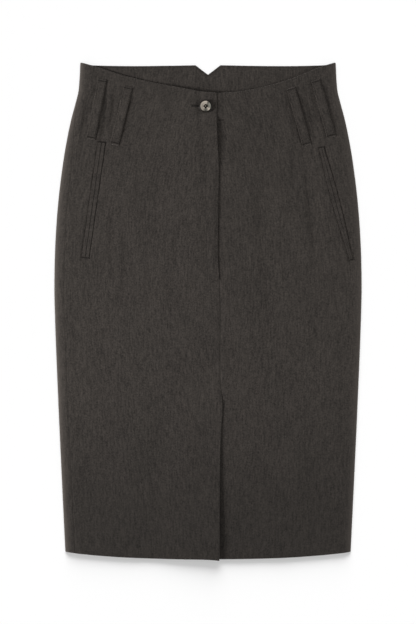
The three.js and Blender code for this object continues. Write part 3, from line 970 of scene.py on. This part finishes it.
def stitch_tree():
    """Nodes that lay short rounded stitches along the edges of a mesh, turned to it by an angle."""
    name = "Stitch rows"
    if name in bpy.data.node_groups:
        return bpy.data.node_groups[name]
    tree = bpy.data.node_groups.new(name, "GeometryNodeTree")
    tree.interface.new_socket("Geometry", in_out="INPUT", socket_type="NodeSocketGeometry")
    tree.interface.new_socket("Geometry", in_out="OUTPUT", socket_type="NodeSocketGeometry")
    for label, kind, default in STITCH_INPUTS:
        socket = tree.interface.new_socket(label, in_out="INPUT", socket_type=kind)
        if default is not None:
            socket.default_value = default
    given = tree.nodes.new("NodeGroupInput").outputs
    line = add_node(tree, "GeometryNodeMeshToCurve", Mesh=given["Geometry"])
    rows = add_node(
        tree, "GeometryNodeResampleCurve", {"mode": "LENGTH"}, Curve=line.outputs[0], Length=given["Spacing"]
    )
    tangent = tree.nodes.new("GeometryNodeInputTangent")
    turned = add_node(
        tree, "ShaderNodeVectorRotate", {"rotation_type": "Z_AXIS"}, Vector=tangent.outputs[0],
        Angle=given["Turn"],
    )
    aimed = add_node(tree, "FunctionNodeAlignRotationToVector", {"axis": "X"}, Vector=turned.outputs[0])
    bead = add_node(tree, "GeometryNodeMeshUVSphere", Segments=8, Rings=5, Radius=0.5)
    size = add_node(
        tree, "ShaderNodeCombineXYZ", X=given["Length"], Y=given["Thickness"], Z=given["Thickness"]
    )
    stitch = add_node(tree, "GeometryNodeTransform", Geometry=bead.outputs[0], Scale=size.outputs[0])
    least = add_node(tree, "ShaderNodeMath", {"operation": "SUBTRACT"}, _0=1.0, _1=given["Unevenness"])
    most = add_node(tree, "ShaderNodeMath", {"operation": "ADD"}, _0=1.0, _1=given["Unevenness"])
    varied = add_node(
        tree, "FunctionNodeRandomValue", {"data_type": "FLOAT"}, Seed=given["Seed"],
        _2=least.outputs[0], _3=most.outputs[0],
    )
    placed = add_node(
        tree, "GeometryNodeInstanceOnPoints", Points=rows.outputs[0], Instance=stitch.outputs[0],
        Rotation=aimed.outputs[0], Scale=varied.outputs[1],
    )
    real = add_node(tree, "GeometryNodeRealizeInstances", Geometry=placed.outputs[0])
    smooth = add_node(tree, "GeometryNodeSetShadeSmooth", Geometry=real.outputs[0])
    threaded = add_node(
        tree, "GeometryNodeSetMaterial", Geometry=smooth.outputs[0], Material=given["Thread"]
    )
    result = tree.nodes.new("NodeGroupOutput")
    tree.links.new(threaded.outputs[0], result.inputs[0])
    return tree


def stitch_rows(name, lines, inputs, slot="cloth"):
    """A finished piece of stitches along lines of 3D points. The inputs are those of the stitch nodes."""
    points, edges = [], []
    for line in lines:
        start = len(points)
        points += [tuple(map(float, point)) for point in line]
        edges += [(index, index + 1) for index in range(start, len(points) - 1)]
    mesh = bpy.data.meshes.new(name)
    mesh.from_pydata(points, edges, [])
    piece = bpy.data.objects.new(name, mesh)
    bpy.context.collection.objects.link(piece)
    rows = piece.modifiers.new("Stitches", "NODES")
    tree = stitch_tree()
    sockets = [socket for socket in tree.interface.items_tree if socket.in_out == "INPUT"]
    known = {socket.name: socket.identifier for socket in sockets}
    rows.node_group = tree
    for label, value in inputs.items():
        rows[known[label]] = value
    finish_piece(applied(piece), slot)


def on_cloth(places, height, top=front_top):
    """3D points on the cloth at places across and places down, a little above it."""
    x, down = np.asarray(places, float)
    return in_space(x, down, top(x, down) + height)


def new_material(name):
    """A new material, its node tree and the place on its object."""
    material = bpy.data.materials.new(name)
    material.use_nodes = True
    tree = material.node_tree
    return material, tree, tree.nodes.new("ShaderNodeTexCoord").outputs["Object"]


def dress(tree, colour, roughness, bump=None, **values):
    """Gives a material's shader its colour, roughness, bump (height, strength, distance) and other inputs."""
    if bump:
        height, strength, distance = bump
        relief = add_node(tree, "ShaderNodeBump", Strength=strength, Distance=distance, Height=height)
        values["Normal"] = relief.outputs[0]
    set_inputs(tree, tree.nodes["Principled BSDF"], Base_Color=colour, Roughness=roughness, **values)


def blend_colours(tree, factor, *colours):
    """Two colours, or outputs of nodes, blended by a factor."""
    low, high = (each if isinstance(each, bpy.types.NodeSocket) else (*each, 1) for each in colours)
    return add_node(tree, "ShaderNodeMix", {"data_type": "RGBA"}, _0=factor, _6=low, _7=high).outputs[2]


def scaled_noise(tree, place, size, detail=2.0, roughness=0.55):
    """Noise whose grain has the given size, in metres, along each axis of the place."""
    scale = tuple(1 / length for length in size)
    stretched = add_node(tree, "ShaderNodeMapping", Vector=place, Scale=scale, Rotation=NOISE_TURN)
    noise = add_node(
        tree, "ShaderNodeTexNoise", Vector=stretched.outputs[0], Scale=1.0, Detail=detail, Roughness=roughness
    )
    return noise.outputs[0]


def math_node(tree, operation, first, second=0.0, clamp=False):
    return add_node(
        tree, "ShaderNodeMath", {"operation": operation, "use_clamp": clamp}, _0=first, _1=second
    ).outputs[0]


def weave_height(tree, place, pitch):
    """The over and under of a plain weave with the given thread pitch."""
    split = add_node(tree, "ShaderNodeSeparateXYZ", Vector=place)
    waves = [
        math_node(tree, "SINE", math_node(tree, "MULTIPLY", split.outputs[axis], math.pi / pitch))
        for axis in range(2)
    ]
    return math_node(tree, "MULTIPLY", *waves)


def weighted_sum(tree, parts, start):
    total = start
    for value, weight in parts:
        total = add_node(
            tree, "ShaderNodeMath", {"operation": "MULTIPLY_ADD"}, _0=value, _1=weight, _2=total
        ).outputs[0]
    return total


def cloth_material(settings):
    """Matt heathered cloth with upright slubs, a plain weave and a soft nap, with painted shade towards the
    hem and a painted highlight along the side folds.
    """
    material, tree, _ = new_material("heathered cloth")
    place = add_node(tree, "ShaderNodeUVMap", {"uv_map": CLOTH_UV}).outputs[0]
    tones, heights = [], [(weave_height(tree, place, settings.thread_pitch), WEAVE_SHARE)]
    for across, along, roughness, in_tone, in_height in GRAINS:
        grain = scaled_noise(tree, place, (across, along, 1.0), 1.0, roughness)
        tones.append((grain, in_tone))
        if in_height:
            heights.append((grain, in_height))
    mottle = weighted_sum(tree, tones, 0.5 - sum(share for _, share in tones) / 2)
    tone = math_node(tree, "ADD", mottle, 0.0, clamp=True)
    yarn = blend_colours(tree, tone, settings.dark_thread, settings.light_thread)
    split = add_node(tree, "ShaderNodeSeparateXYZ", Vector=place)
    # Painted shade: the colour darkens towards the hem, where the light falls off
    start, end, depth = HEM_SHADE
    hem = add_node(
        tree, "ShaderNodeMapRange", {"interpolation_type": "SMOOTHSTEP"},
        _0=split.outputs[1], _1=start, _2=end, _3=0.0, _4=depth,
    )
    hem_shaded = blend_colours(tree, hem.outputs[0], yarn, (0.0, 0.0, 0.0))
    # Painted highlight: paler colour along the side folds, in place of light on their rounded edges
    spread = math_node(tree, "MULTIPLY", split.outputs[0], 1 / settings.fold_highlight_width)
    near_fold = math_node(tree, "POWER", 1 / math.e, math_node(tree, "MULTIPLY", spread, spread))
    painted_fold_highlight = math_node(tree, "MULTIPLY", near_fold, FOLD_HIGHLIGHT_SHARE)
    colour = blend_colours(tree, painted_fold_highlight, hem_shaded, settings.fold_highlight_colour)
    dress(
        tree, colour, 0.92, (weighted_sum(tree, heights, 0.0), 0.5, 0.00035), Specular_IOR_Level=0.2,
        Sheen_Weight=settings.nap, Sheen_Roughness=0.45, Sheen_Tint=(1.0, 0.93, 0.87, 1),
    )
    return material


def thread_material(name, dark, light):
    """Sewing thread with its twist."""
    material, tree, place = new_material(name)
    twist = scaled_noise(tree, place, (0.0004, 0.0004, 0.0004), 1.0)
    dress(tree, blend_colours(tree, twist, dark, light), 0.85, (twist, 0.5, 0.0001), Specular_IOR_Level=0.12)
    return material


def tape_material():
    """Woven zip tape with a fine zigzag."""
    material, tree, place = new_material("zip tape")
    split = add_node(tree, "ShaderNodeSeparateXYZ", Vector=place)
    zigzag = math_node(tree, "PINGPONG", split.outputs[0], ZIGZAG_HALF)
    slanted = math_node(tree, "ADD", split.outputs[1], zigzag)
    ribs = math_node(tree, "SINE", math_node(tree, "MULTIPLY", slanted, 2 * math.pi / RIB_PITCH))
    tone = weighted_sum(tree, ((ribs, 0.5),), 0.5)
    colour = blend_colours(tree, tone, (0.012, 0.011, 0.0105), (0.03, 0.027, 0.025))
    dress(tree, colour, 0.8, (tone, 0.5, 0.0002))
    return material


def metal_material():
    """Dark satin metal with fine brushing."""
    material, tree, place = new_material("satin metal")
    brushed = scaled_noise(tree, place, (0.0003, 0.006, 0.0003), 2.0)
    colour = blend_colours(tree, brushed, (0.055, 0.05, 0.046), (0.1, 0.093, 0.086))
    dress(tree, colour, weighted_sum(tree, ((brushed, 0.25),), 0.28), Metallic=0.9)
    return material


def colour_ramp(tree, factor, stops):
    """Colours blended by a factor, from (place, colour) stops."""
    ramp = add_node(tree, "ShaderNodeValToRGB", Fac=factor)
    elements = ramp.color_ramp.elements
    for place, _ in stops[1:-1]:
        elements.new(place)
    for element, (place, colour) in zip(elements, stops):
        element.position = place
        element.color = (*colour, 1)
    return ramp.outputs[0]


def button_material(settings, centre):
    """Polished horn-like button with rings and clouds: pale at the left in painted light, grey at the right
    and dark at the foot in painted shade, with a dark rim of painted shade round its edge.
    """
    material, tree, place = new_material("horn-like button")
    local = add_node(tree, "ShaderNodeMapping", Vector=place, Location=tuple(-value for value in centre))
    clouds = scaled_noise(tree, local.outputs[0], (0.0024, 0.003, 0.003), 3.0)
    turn = add_node(tree, "ShaderNodeTexGradient", {"gradient_type": "RADIAL"}, Vector=local.outputs[0])
    bent = weighted_sum(tree, ((turn.outputs[1], 1.0), (clouds, 0.08)), -0.04)
    stops = [(share, getattr(settings, f"button_{shade}")) for share, shade in BUTTON_TURNS]
    mottled = colour_ramp(tree, bent, stops)
    radius = add_node(tree, "ShaderNodeVectorMath", {"operation": "LENGTH"}, _0=local.outputs[0]).outputs[1]
    off_ring = math_node(tree, "ABSOLUTE", math_node(tree, "SUBTRACT", radius, RING_RADIUS))
    band = math_node(tree, "SUBTRACT", 1.0, math_node(tree, "MULTIPLY", off_ring, 1 / RING_HALF), clamp=True)
    shade = math_node(tree, "MULTIPLY", band, RING_STRENGTH)
    ringed = blend_colours(tree, shade, mottled, settings.button_ring)
    # Painted shade: a dark rim round the button's edge
    past_rim = math_node(tree, "SUBTRACT", radius, RIM_START)
    rim = math_node(tree, "MULTIPLY", past_rim, 1 / RIM_SOFTNESS, clamp=True)
    colour = blend_colours(tree, rim, ringed, settings.button_rim)
    dress(tree, colour, 0.45, (clouds, 0.15, 0.0002), Specular_IOR_Level=0.15)
    return material


def floor_material(settings):
    """Matt white floor, hardly uneven in tone."""
    material, tree, place = new_material("pale floor")
    grain = scaled_noise(tree, place, (0.4, 0.4, 0.4), 1.0)
    darker = [value * 0.99 for value in settings.floor_colour]
    dress(tree, blend_colours(tree, grain, darker, settings.floor_colour), 0.85, Specular_IOR_Level=0.1)
    return material


def light_only(light, floor, link_state):
    """Keeps a light to the floor, "INCLUDE", or to all but the floor, "EXCLUDE"."""
    reach = bpy.data.collections.new(f"{light.name}_reach")
    reach.objects.link(floor)
    reach.collection_objects[0].light_linking.link_state = link_state
    light.light_linking.receiver_collection = reach


def shared_material(name, make):
    """The material of that name, made the first time that it is asked for."""
    return bpy.data.materials.get(name) or make()


def colour_property(name, description, default):
    return bpy.props.FloatVectorProperty(
        name=name, description=description, subtype="COLOR", size=3, min=0, max=1, default=default
    )


def number_property(name, description, default, **limits):
    limits.setdefault("min", 0)
    return bpy.props.FloatProperty(name=name, description=description, default=default, **limits)


def length_property(name, description, default):
    return number_property(name, description, default, unit="LENGTH", precision=5)


class SkirtClothSettings(bpy.types.PropertyGroup):
    front_step: length_property("Front step", "Mesh spacing across the front panels", 0.0018)
    back_step: length_property("Back step", "Mesh spacing across the back panels", 0.0026)
    thread_pitch: length_property("Thread pitch", "Distance between threads of the weave", 0.0008)
    dark_thread: colour_property("Dark thread", "Darkest colour in the cloth", (0.0136, 0.0113, 0.0096))
    light_thread: colour_property("Light thread", "Lightest colour in the cloth", (0.0495, 0.0418, 0.0362))
    # The paler colour along the side folds is a painted highlight, in place of light on their rounded edges
    fold_highlight_colour: colour_property("Fold highlight", "Colour of the painted highlight on the side folds", (0.075, 0.064, 0.056))
    fold_highlight_width: length_property("Fold highlight width", "Width of the painted highlight on each side of a fold", 0.0075)
    nap: number_property("Nap", "Strength of the soft sheen of the cloth's fibres", 0.4, max=1)


class SkirtSewingSettings(bpy.types.PropertyGroup):
    stitch_spacing: length_property("Stitch spacing", "Distance from stitch to stitch", 0.0032)
    stitch_length: length_property("Stitch length", "Length of one stitch that shows", 0.0026)
    thread_thickness: length_property("Thread thickness", "Thickness of the sewing thread", 0.00045)
    tack_spacing: length_property("Bar tack spacing", "Distance from stitch to stitch of a tack", 0.0005)
    tack_width: length_property("Bar tack width", "Width of a bar tack", 0.0018)


class SkirtButtonSettings(bpy.types.PropertyGroup):
    # The pale, grey and dark colours by direction are partly the horn's own and partly painted light and
    # shade; the rim's colour is painted shade round the edge
    button_light: colour_property("Light side", "Colour of the button's pale side", (0.44, 0.39, 0.33))
    button_grey: colour_property("Grey side", "Colour of the button's greyer side", (0.15, 0.145, 0.122))
    button_dark: colour_property("Dark clouds and shade", "Colour of the button's darkest clouds and painted shade at its foot", (0.05, 0.046, 0.04))
    button_ring: colour_property("Ring", "Colour of the ring round the button's middle", (0.2, 0.18, 0.15))
    button_rim: colour_property("Rim", "Colour of the button's outer edge", (0.012, 0.0098, 0.0075))


class SkirtStudioSettings(bpy.types.PropertyGroup):
    focal_length: number_property("Focal length", "Camera lens, in millimetres", 85, min=1)
    frame_height: length_property("Frame height", "Height of the view at the skirt", 0.934)
    top_light: number_property("Light from the top", "Soft light on the floor from beyond the waist", 3.9)
    floor_light: number_property("Light from above", "Even light on the floor", 1.13)
    side_light: number_property("Light from the left", "Soft light on the skirt", 55, unit="POWER")
    fill_light: number_property("Light from the right", "Weak light on the skirt", 20, unit="POWER")
    room_light: number_property("Room light", "Even light from all round", 0.3)
    floor_colour: colour_property("Floor", "Colour of the floor", (0.88, 0.88, 0.88))


class SkirtSettings(bpy.types.PropertyGroup):
    cloth: bpy.props.PointerProperty(type=SkirtClothSettings)
    sewing: bpy.props.PointerProperty(type=SkirtSewingSettings)
    button: bpy.props.PointerProperty(type=SkirtButtonSettings)
    studio: bpy.props.PointerProperty(type=SkirtStudioSettings)


def skirt_cloth(context):
    return shared_material("heathered cloth", lambda: cloth_material(context.scene.pencil_skirt.cloth))


def shared_thread(name, dark, light):
    return shared_material(name, lambda: thread_material(name, dark, light))


def skirt_thread():
    return shared_thread("sewing thread", (0.014, 0.0125, 0.0115), (0.034, 0.03, 0.027))


# Dark thread: the bar tacks' own colour, and on the belt loops' edges and feet its darkness is painted shade
def tack_and_shade_thread():
    return shared_thread("dark sewing thread", (0.0105, 0.009, 0.0078), (0.025, 0.0215, 0.0186))


def button_thread():
    return shared_thread("button thread", (0.004, 0.003, 0.0022), (0.012, 0.009, 0.0065))


def row_inputs(sewing, **changes):
    """Inputs of the stitch nodes for a plain row."""
    plain = {
        "Spacing": sewing.stitch_spacing,
        "Length": sewing.stitch_length,
        "Thickness": sewing.thread_thickness,
        "Thread": skirt_thread(),
    }
    return {**plain, **changes}


def tack_inputs(sewing, **changes):
    """Inputs of the stitch nodes for a bar tack: close stitches laid across its line."""
    across = {
        "Spacing": sewing.tack_spacing,
        "Length": sewing.tack_width,
        "Turn": math.pi / 2,
        "Thread": tack_and_shade_thread(),
    }
    return row_inputs(sewing, **{**across, **changes})


class MakeBeltLoops(bpy.types.Operator):
    """Make the four belt loops, sewn down at both ends"""

    bl_idname = "skirt.make_belt_loops"
    bl_label = "Belt loops"

    def execute(self, context):
        sewing = context.scene.pencil_skirt.sewing
        section = rounded_section(LOOP_WIDTH, LOOP_CLOTH, 36, LOOP_RIDGE)
        edge_rows, head_rows, foot_rows = [], [], []
        shares = np.linspace(*EDGE_ROW_ENDS, 60)
        across = np.linspace(-LOOP_TACK_HALF, LOOP_TACK_HALF, 12) * LOOP_WIDTH
        for index, ends in enumerate(BELT_LOOPS, start=1):
            name = f"belt_loop_{index}"
            loop = laid_strip(f"{name}_cloth", ends, 0, section, front_top, loop_lift, skirt_cloth(context))
            finish_piece(loop, "cloth", name)
            for side in (-1, 1):
                places = strip_places(ends, side * LOOP_WIDTH * EDGE_ROW_SHARE, shares)
                edge_rows.append(on_cloth(places, loop_lift(shares) + LOOP_CLOTH + EDGE_ROW_HEIGHT))
            for share, rows in ((HEAD_TACK_SHARE, head_rows), (FOOT_TACK_SHARE, foot_rows)):
                rows.append(on_cloth(strip_places(ends, across, share), LOOP_CLOTH + LOOP_TACK_HEIGHT))
        # The dark thread along the loops' edges and on their foot tacks is painted shade
        stitch_rows("belt_loop_edge_stitches", edge_rows, row_inputs(sewing, Thread=tack_and_shade_thread()))
        stitch_rows("belt_loop_head_tacks", head_rows, tack_inputs(sewing, Thread=skirt_thread()))
        stitch_rows("belt_loop_foot_tacks", foot_rows, tack_inputs(sewing))
        return {"FINISHED"}


class MakePockets(bpy.types.Operator):
    """Make the two slanted pockets, each with two narrow welts and a bar tack at both ends"""

    bl_idname = "skirt.make_pockets"
    bl_label = "Pockets"

    def execute(self, context):
        sewing = context.scene.pencil_skirt.sewing
        section = rounded_section(WELT_WIDTH, WELT_CLOTH, 24)
        shift = (WELT_WIDTH + POCKET_SLIT) / 2
        rows = []
        for side, ends in POCKETS.items():
            out = math.copysign(1, ends[0][0])
            width = narrow_ends if side == "left" else full_width
            for place, sign in (("outer", out), ("inner", -out)):
                name = f"pocket_{side}_{place}_welt"
                welt = laid_strip(
                    f"{name}_cloth", ends, sign * shift, section, front_top, no_lift, skirt_cloth(context),
                    width=width,
                )
                finish_piece(welt, "cloth", name)
            for share in POCKET_TACK_SHARES:
                across = np.linspace(-1, 1, 16) * (WELT_WIDTH * width(share) + POCKET_TACK_MARGIN)
                rows.append(on_cloth(strip_places(ends, across, share), WELT_CLOTH + ON_CLOTH))
        stitch_rows("pocket_bar_tacks", rows, tack_inputs(sewing))
        return {"FINISHED"}


class MakeZip(bpy.types.Operator):
    """Make the closed zip under the fly: tape, coil, slider and pull"""

    bl_idname = "skirt.make_zip"
    bl_label = "Zip"

    def execute(self, context):
        metal = metal_material()
        cloth = tape_material()
        tape = laid_strip(
            "zip_tape_cloth", ((0, ZIP_TOP), (0, ZIP_FOOT)), 0, rounded_section(TAPE_WIDTH, TAPE_CLOTH, 28),
            under_top, no_lift, cloth,
        )
        finish_piece(tape, "zip_tape", "zip_tape")
        coil_line = smooth_path(((0, COIL_TOP), (0, ZIP_FOOT - COIL_WIDTH)), PATH_STEP).T
        coil_inputs = {
            "Spacing": COIL_PITCH, "Length": COIL_WIDTH, "Thickness": COIL_THICKNESS, "Turn": math.pi / 2,
            "Unevenness": 0.0, "Thread": cloth,
        }
        coil = [on_cloth(coil_line, TAPE_CLOTH + COIL_MIDDLE, under_top)]
        stitch_rows("zip_coil", coil, coil_inputs, "zip_tape")
        top = ZIP_TOP + COIL_WIDTH
        parts = []
        for name, ends, section, lift in (
            ("slider", (0, SLIDER_LENGTH), rounded_section(SLIDER_WIDTH, SLIDER_METAL, 24), slider_lift),
            ("pull", PULL_ENDS, rounded_section(PULL_WIDTH, PULL_METAL, 20), pull_lift),
        ):
            places = [(0, top + end) for end in ends]
            parts.append(laid_strip(name, places, 0, section, under_top, lift, metal, METAL_STEP))
        finish_piece(joined("zip_slider_metal", parts), "zip_metal", "zip_slider")
        return {"FINISHED"}


class MakeButton(bpy.types.Operator):
    """Make the four-hole button with its thread"""

    bl_idname = "skirt.make_button"
    bl_label = "Button"

    def execute(self, context):
        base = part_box("button")[0].z
        centre = (BUTTON_X, LENGTH / 2 - BUTTON_DOWN, base)
        horn = button_material(context.scene.pencil_skirt.button, centre)
        button = lathe("button_horn", BUTTON_PROFILE, BUTTON_SIDES, centre, horn)
        holes, drills = [], []
        for index in range(BUTTON_HOLES):
            angle = 2 * math.pi * index / BUTTON_HOLES
            x = centre[0] + HOLE_OFFSET * math.cos(angle)
            y = centre[1] + HOLE_OFFSET * math.sin(angle)
            holes.append((x, y))
            drills.append(tube("drill", [(x, y, base + end) for end in DRILL_ENDS], HOLE_RADIUS, 24, horn))
            cut = button.modifiers.new(f"Hole {index}", "BOOLEAN")
            cut.operation = "DIFFERENCE"
            cut.object = drills[-1]
            cut.solver = "EXACT"
        applied(button)
        for drill in drills:
            bpy.data.objects.remove(drill)
        finish_piece(button, "button", "button")
        strands = []
        share = np.linspace(0, 1, 13)
        height = base + BUTTON_PROFILE[-1][1] - STRAND_SINK + STRAND_ARCH * np.sin(math.pi * share)
        for (x0, y0), (x1, y1) in zip(holes, holes[1:] + holes[:1]):
            path = np.stack((x0 + (x1 - x0) * share, y0 + (y1 - y0) * share, height), axis=1)
            path = np.concatenate(([(x0, y0, base + STRAND_FOOT)], path, [(x1, y1, base + STRAND_FOOT)]))
            strands.append(tube("strand", path, STRAND_RADIUS, 8, button_thread()))
        finish_piece(joined("button_thread", strands), "cloth")
        return {"FINISHED"}


class MakeSewing(bpy.types.Operator):
    """Make the topstitching of the fly, vent, waist and hem, the buttonhole and the bar tacks"""

    bl_idname = "skirt.make_sewing"
    bl_label = "Sewing"

    def execute(self, context):
        sewing = context.scene.pencil_skirt.sewing
        fly = [on_cloth(smooth_path(places, PATH_STEP).T, IN_CLOTH) for places in (FLY_STITCH, VENT_STITCH)]
        x = np.linspace(-WAIST_ROW_HALF, WAIST_ROW_HALF, 240)
        below_edge = WAIST_ROW_DOWN + NOTCH_ROW_DOWN * (np.abs(x) < NOTCH_HALF)
        waist = [on_cloth((x, back_waist(x) + below_edge), ON_CLOTH, back_inside)]
        hem = []
        for ends, hem_edge in ((HEM_ROW_RIGHT, over_hem), (HEM_ROW_LEFT, front_hem)):
            x = np.linspace(*ends, 90)
            hem.append(on_cloth((x, hem_edge(x) - HEM_STITCH), PULLED_IN))
        tacks = [
            on_cloth(smooth_path(FLY_BAR_TACK, TACK_STEP).T, ON_CLOTH),
            on_cloth(smooth_path(UNDER_FACING_LINE, TACK_STEP).T, ON_CLOTH, under_top),
        ]
        x, down = smooth_path(BUTTONHOLE, TACK_STEP).T
        hole = [on_cloth((x, down + offset), 0.0) for offset in (-BUTTONHOLE_HALF, BUTTONHOLE_HALF)]
        for x, down in BUTTONHOLE:
            ends = (down - BUTTONHOLE_TACK_HALF, down + BUTTONHOLE_TACK_HALF)
            hole.append(on_cloth(((x, x), ends), ON_CLOTH))
        stitch_rows("fly_topstitching", fly, row_inputs(sewing))
        stitch_rows("waist_edge_stitching", waist, row_inputs(sewing))
        stitch_rows("hem_stitches", hem, row_inputs(sewing, **HEM_STITCHES))
        stitch_rows("front_bar_tacks", tacks, tack_inputs(sewing))
        raised = tack_inputs(sewing, Thickness=BUTTONHOLE_THREAD, Thread=skirt_thread())
        stitch_rows("buttonhole", hole, raised)
        return {"FINISHED"}


class MakePanels(bpy.types.Operator):
    """Make the four panels of cloth"""

    bl_idname = "skirt.make_panels"
    bl_label = "Panels"

    def execute(self, context):
        settings = context.scene.pencil_skirt.cloth
        for panel in PANELS:
            step = settings.back_step if panel.edge_is_seam else settings.front_step
            made = panel_piece(panel, step, skirt_cloth(context))
        return {"FINISHED"}


class MakeStudio(bpy.types.Operator):
    """Make the pale floor, the soft lights and the camera"""

    bl_idname = "skirt.make_studio"
    bl_label = "Studio"

    def execute(self, context):
        settings = context.scene.pencil_skirt.studio
        scene = context.scene
        mesh = bpy.data.meshes.new("floor")
        square = ((-1, -1), (1, -1), (1, 1), (-1, 1))
        corners = [(x * FLOOR_HALF, y * FLOOR_HALF, FLOOR_HEIGHT) for x, y in square]
        mesh.from_pydata(corners, [], [(0, 1, 2, 3)])
        mesh.materials.append(floor_material(settings))
        floor = bpy.data.objects.new("floor", mesh)
        scene.collection.objects.link(floor)
        for name, kind, place, size, power, link_state in LIGHTS:
            lamp = bpy.data.lights.new(name, kind)
            setattr(lamp, "angle" if kind == "SUN" else "size", size)
            lamp.energy = getattr(settings, power)
            light = bpy.data.objects.new(name, lamp)
            light.location = place
            light.rotation_euler = (-Vector(place)).to_track_quat("-Z", "Y").to_euler()
            scene.collection.objects.link(light)
            light_only(light, floor, link_state)
        world = bpy.data.worlds.new("studio")
        world.use_nodes = True
        room = world.node_tree.nodes["Background"]
        room.inputs["Color"].default_value = (1, 1, 1, 1)
        room.inputs["Strength"].default_value = settings.room_light
        scene.world = world
        scene.view_settings.view_transform = "Standard"
        lens = bpy.data.cameras.new("camera")
        lens.lens = settings.focal_length
        lens.sensor_fit = "AUTO"
        camera = bpy.data.objects.new("camera", lens)
        distance = settings.frame_height / lens.sensor_width * lens.lens
        camera.location = (0, CAMERA_Y, LAID_HEIGHT + distance)
        scene.collection.objects.link(camera)
        scene.camera = camera
        return {"FINISHED"}


class SkirtPanel(bpy.types.Panel):
    bl_idname = "VIEW3D_PT_pencil_skirt"
    bl_label = "Pencil skirt"
    bl_space_type = "VIEW_3D"
    bl_region_type = "UI"
    bl_category = "Skirt"

    def draw(self, context):
        settings = context.scene.pencil_skirt
        for group in (settings.cloth, settings.sewing, settings.button, settings.studio):
            box = self.layout.box()
            for key in group.bl_rna.properties.keys():
                if key not in ("rna_type", "name"):
                    box.prop(group, key)
        for step in STEPS:
            self.layout.operator(step.bl_idname)


STEPS = (MakeBeltLoops, MakePockets, MakeZip, MakeButton, MakeSewing, MakePanels, MakeStudio)
CLASSES = (
    SkirtClothSettings,
    SkirtSewingSettings,
    SkirtButtonSettings,
    SkirtStudioSettings,
    SkirtSettings,
    *STEPS,
    SkirtPanel,
)


def register():
    for each in CLASSES:
        bpy.utils.register_class(each)
    bpy.types.Scene.pencil_skirt = bpy.props.PointerProperty(type=SkirtSettings)


def unregister():
    del bpy.types.Scene.pencil_skirt
    for each in reversed(CLASSES):
        bpy.utils.unregister_class(each)


def main():
    register()
    bpy.ops.skirt.make_belt_loops()
    bpy.ops.skirt.make_pockets()
    bpy.ops.skirt.make_zip()
    bpy.ops.skirt.make_button()
    bpy.ops.skirt.make_sewing()
    bpy.ops.skirt.make_panels()
    bpy.ops.skirt.make_studio()


if __name__ == "__main__":
    main()
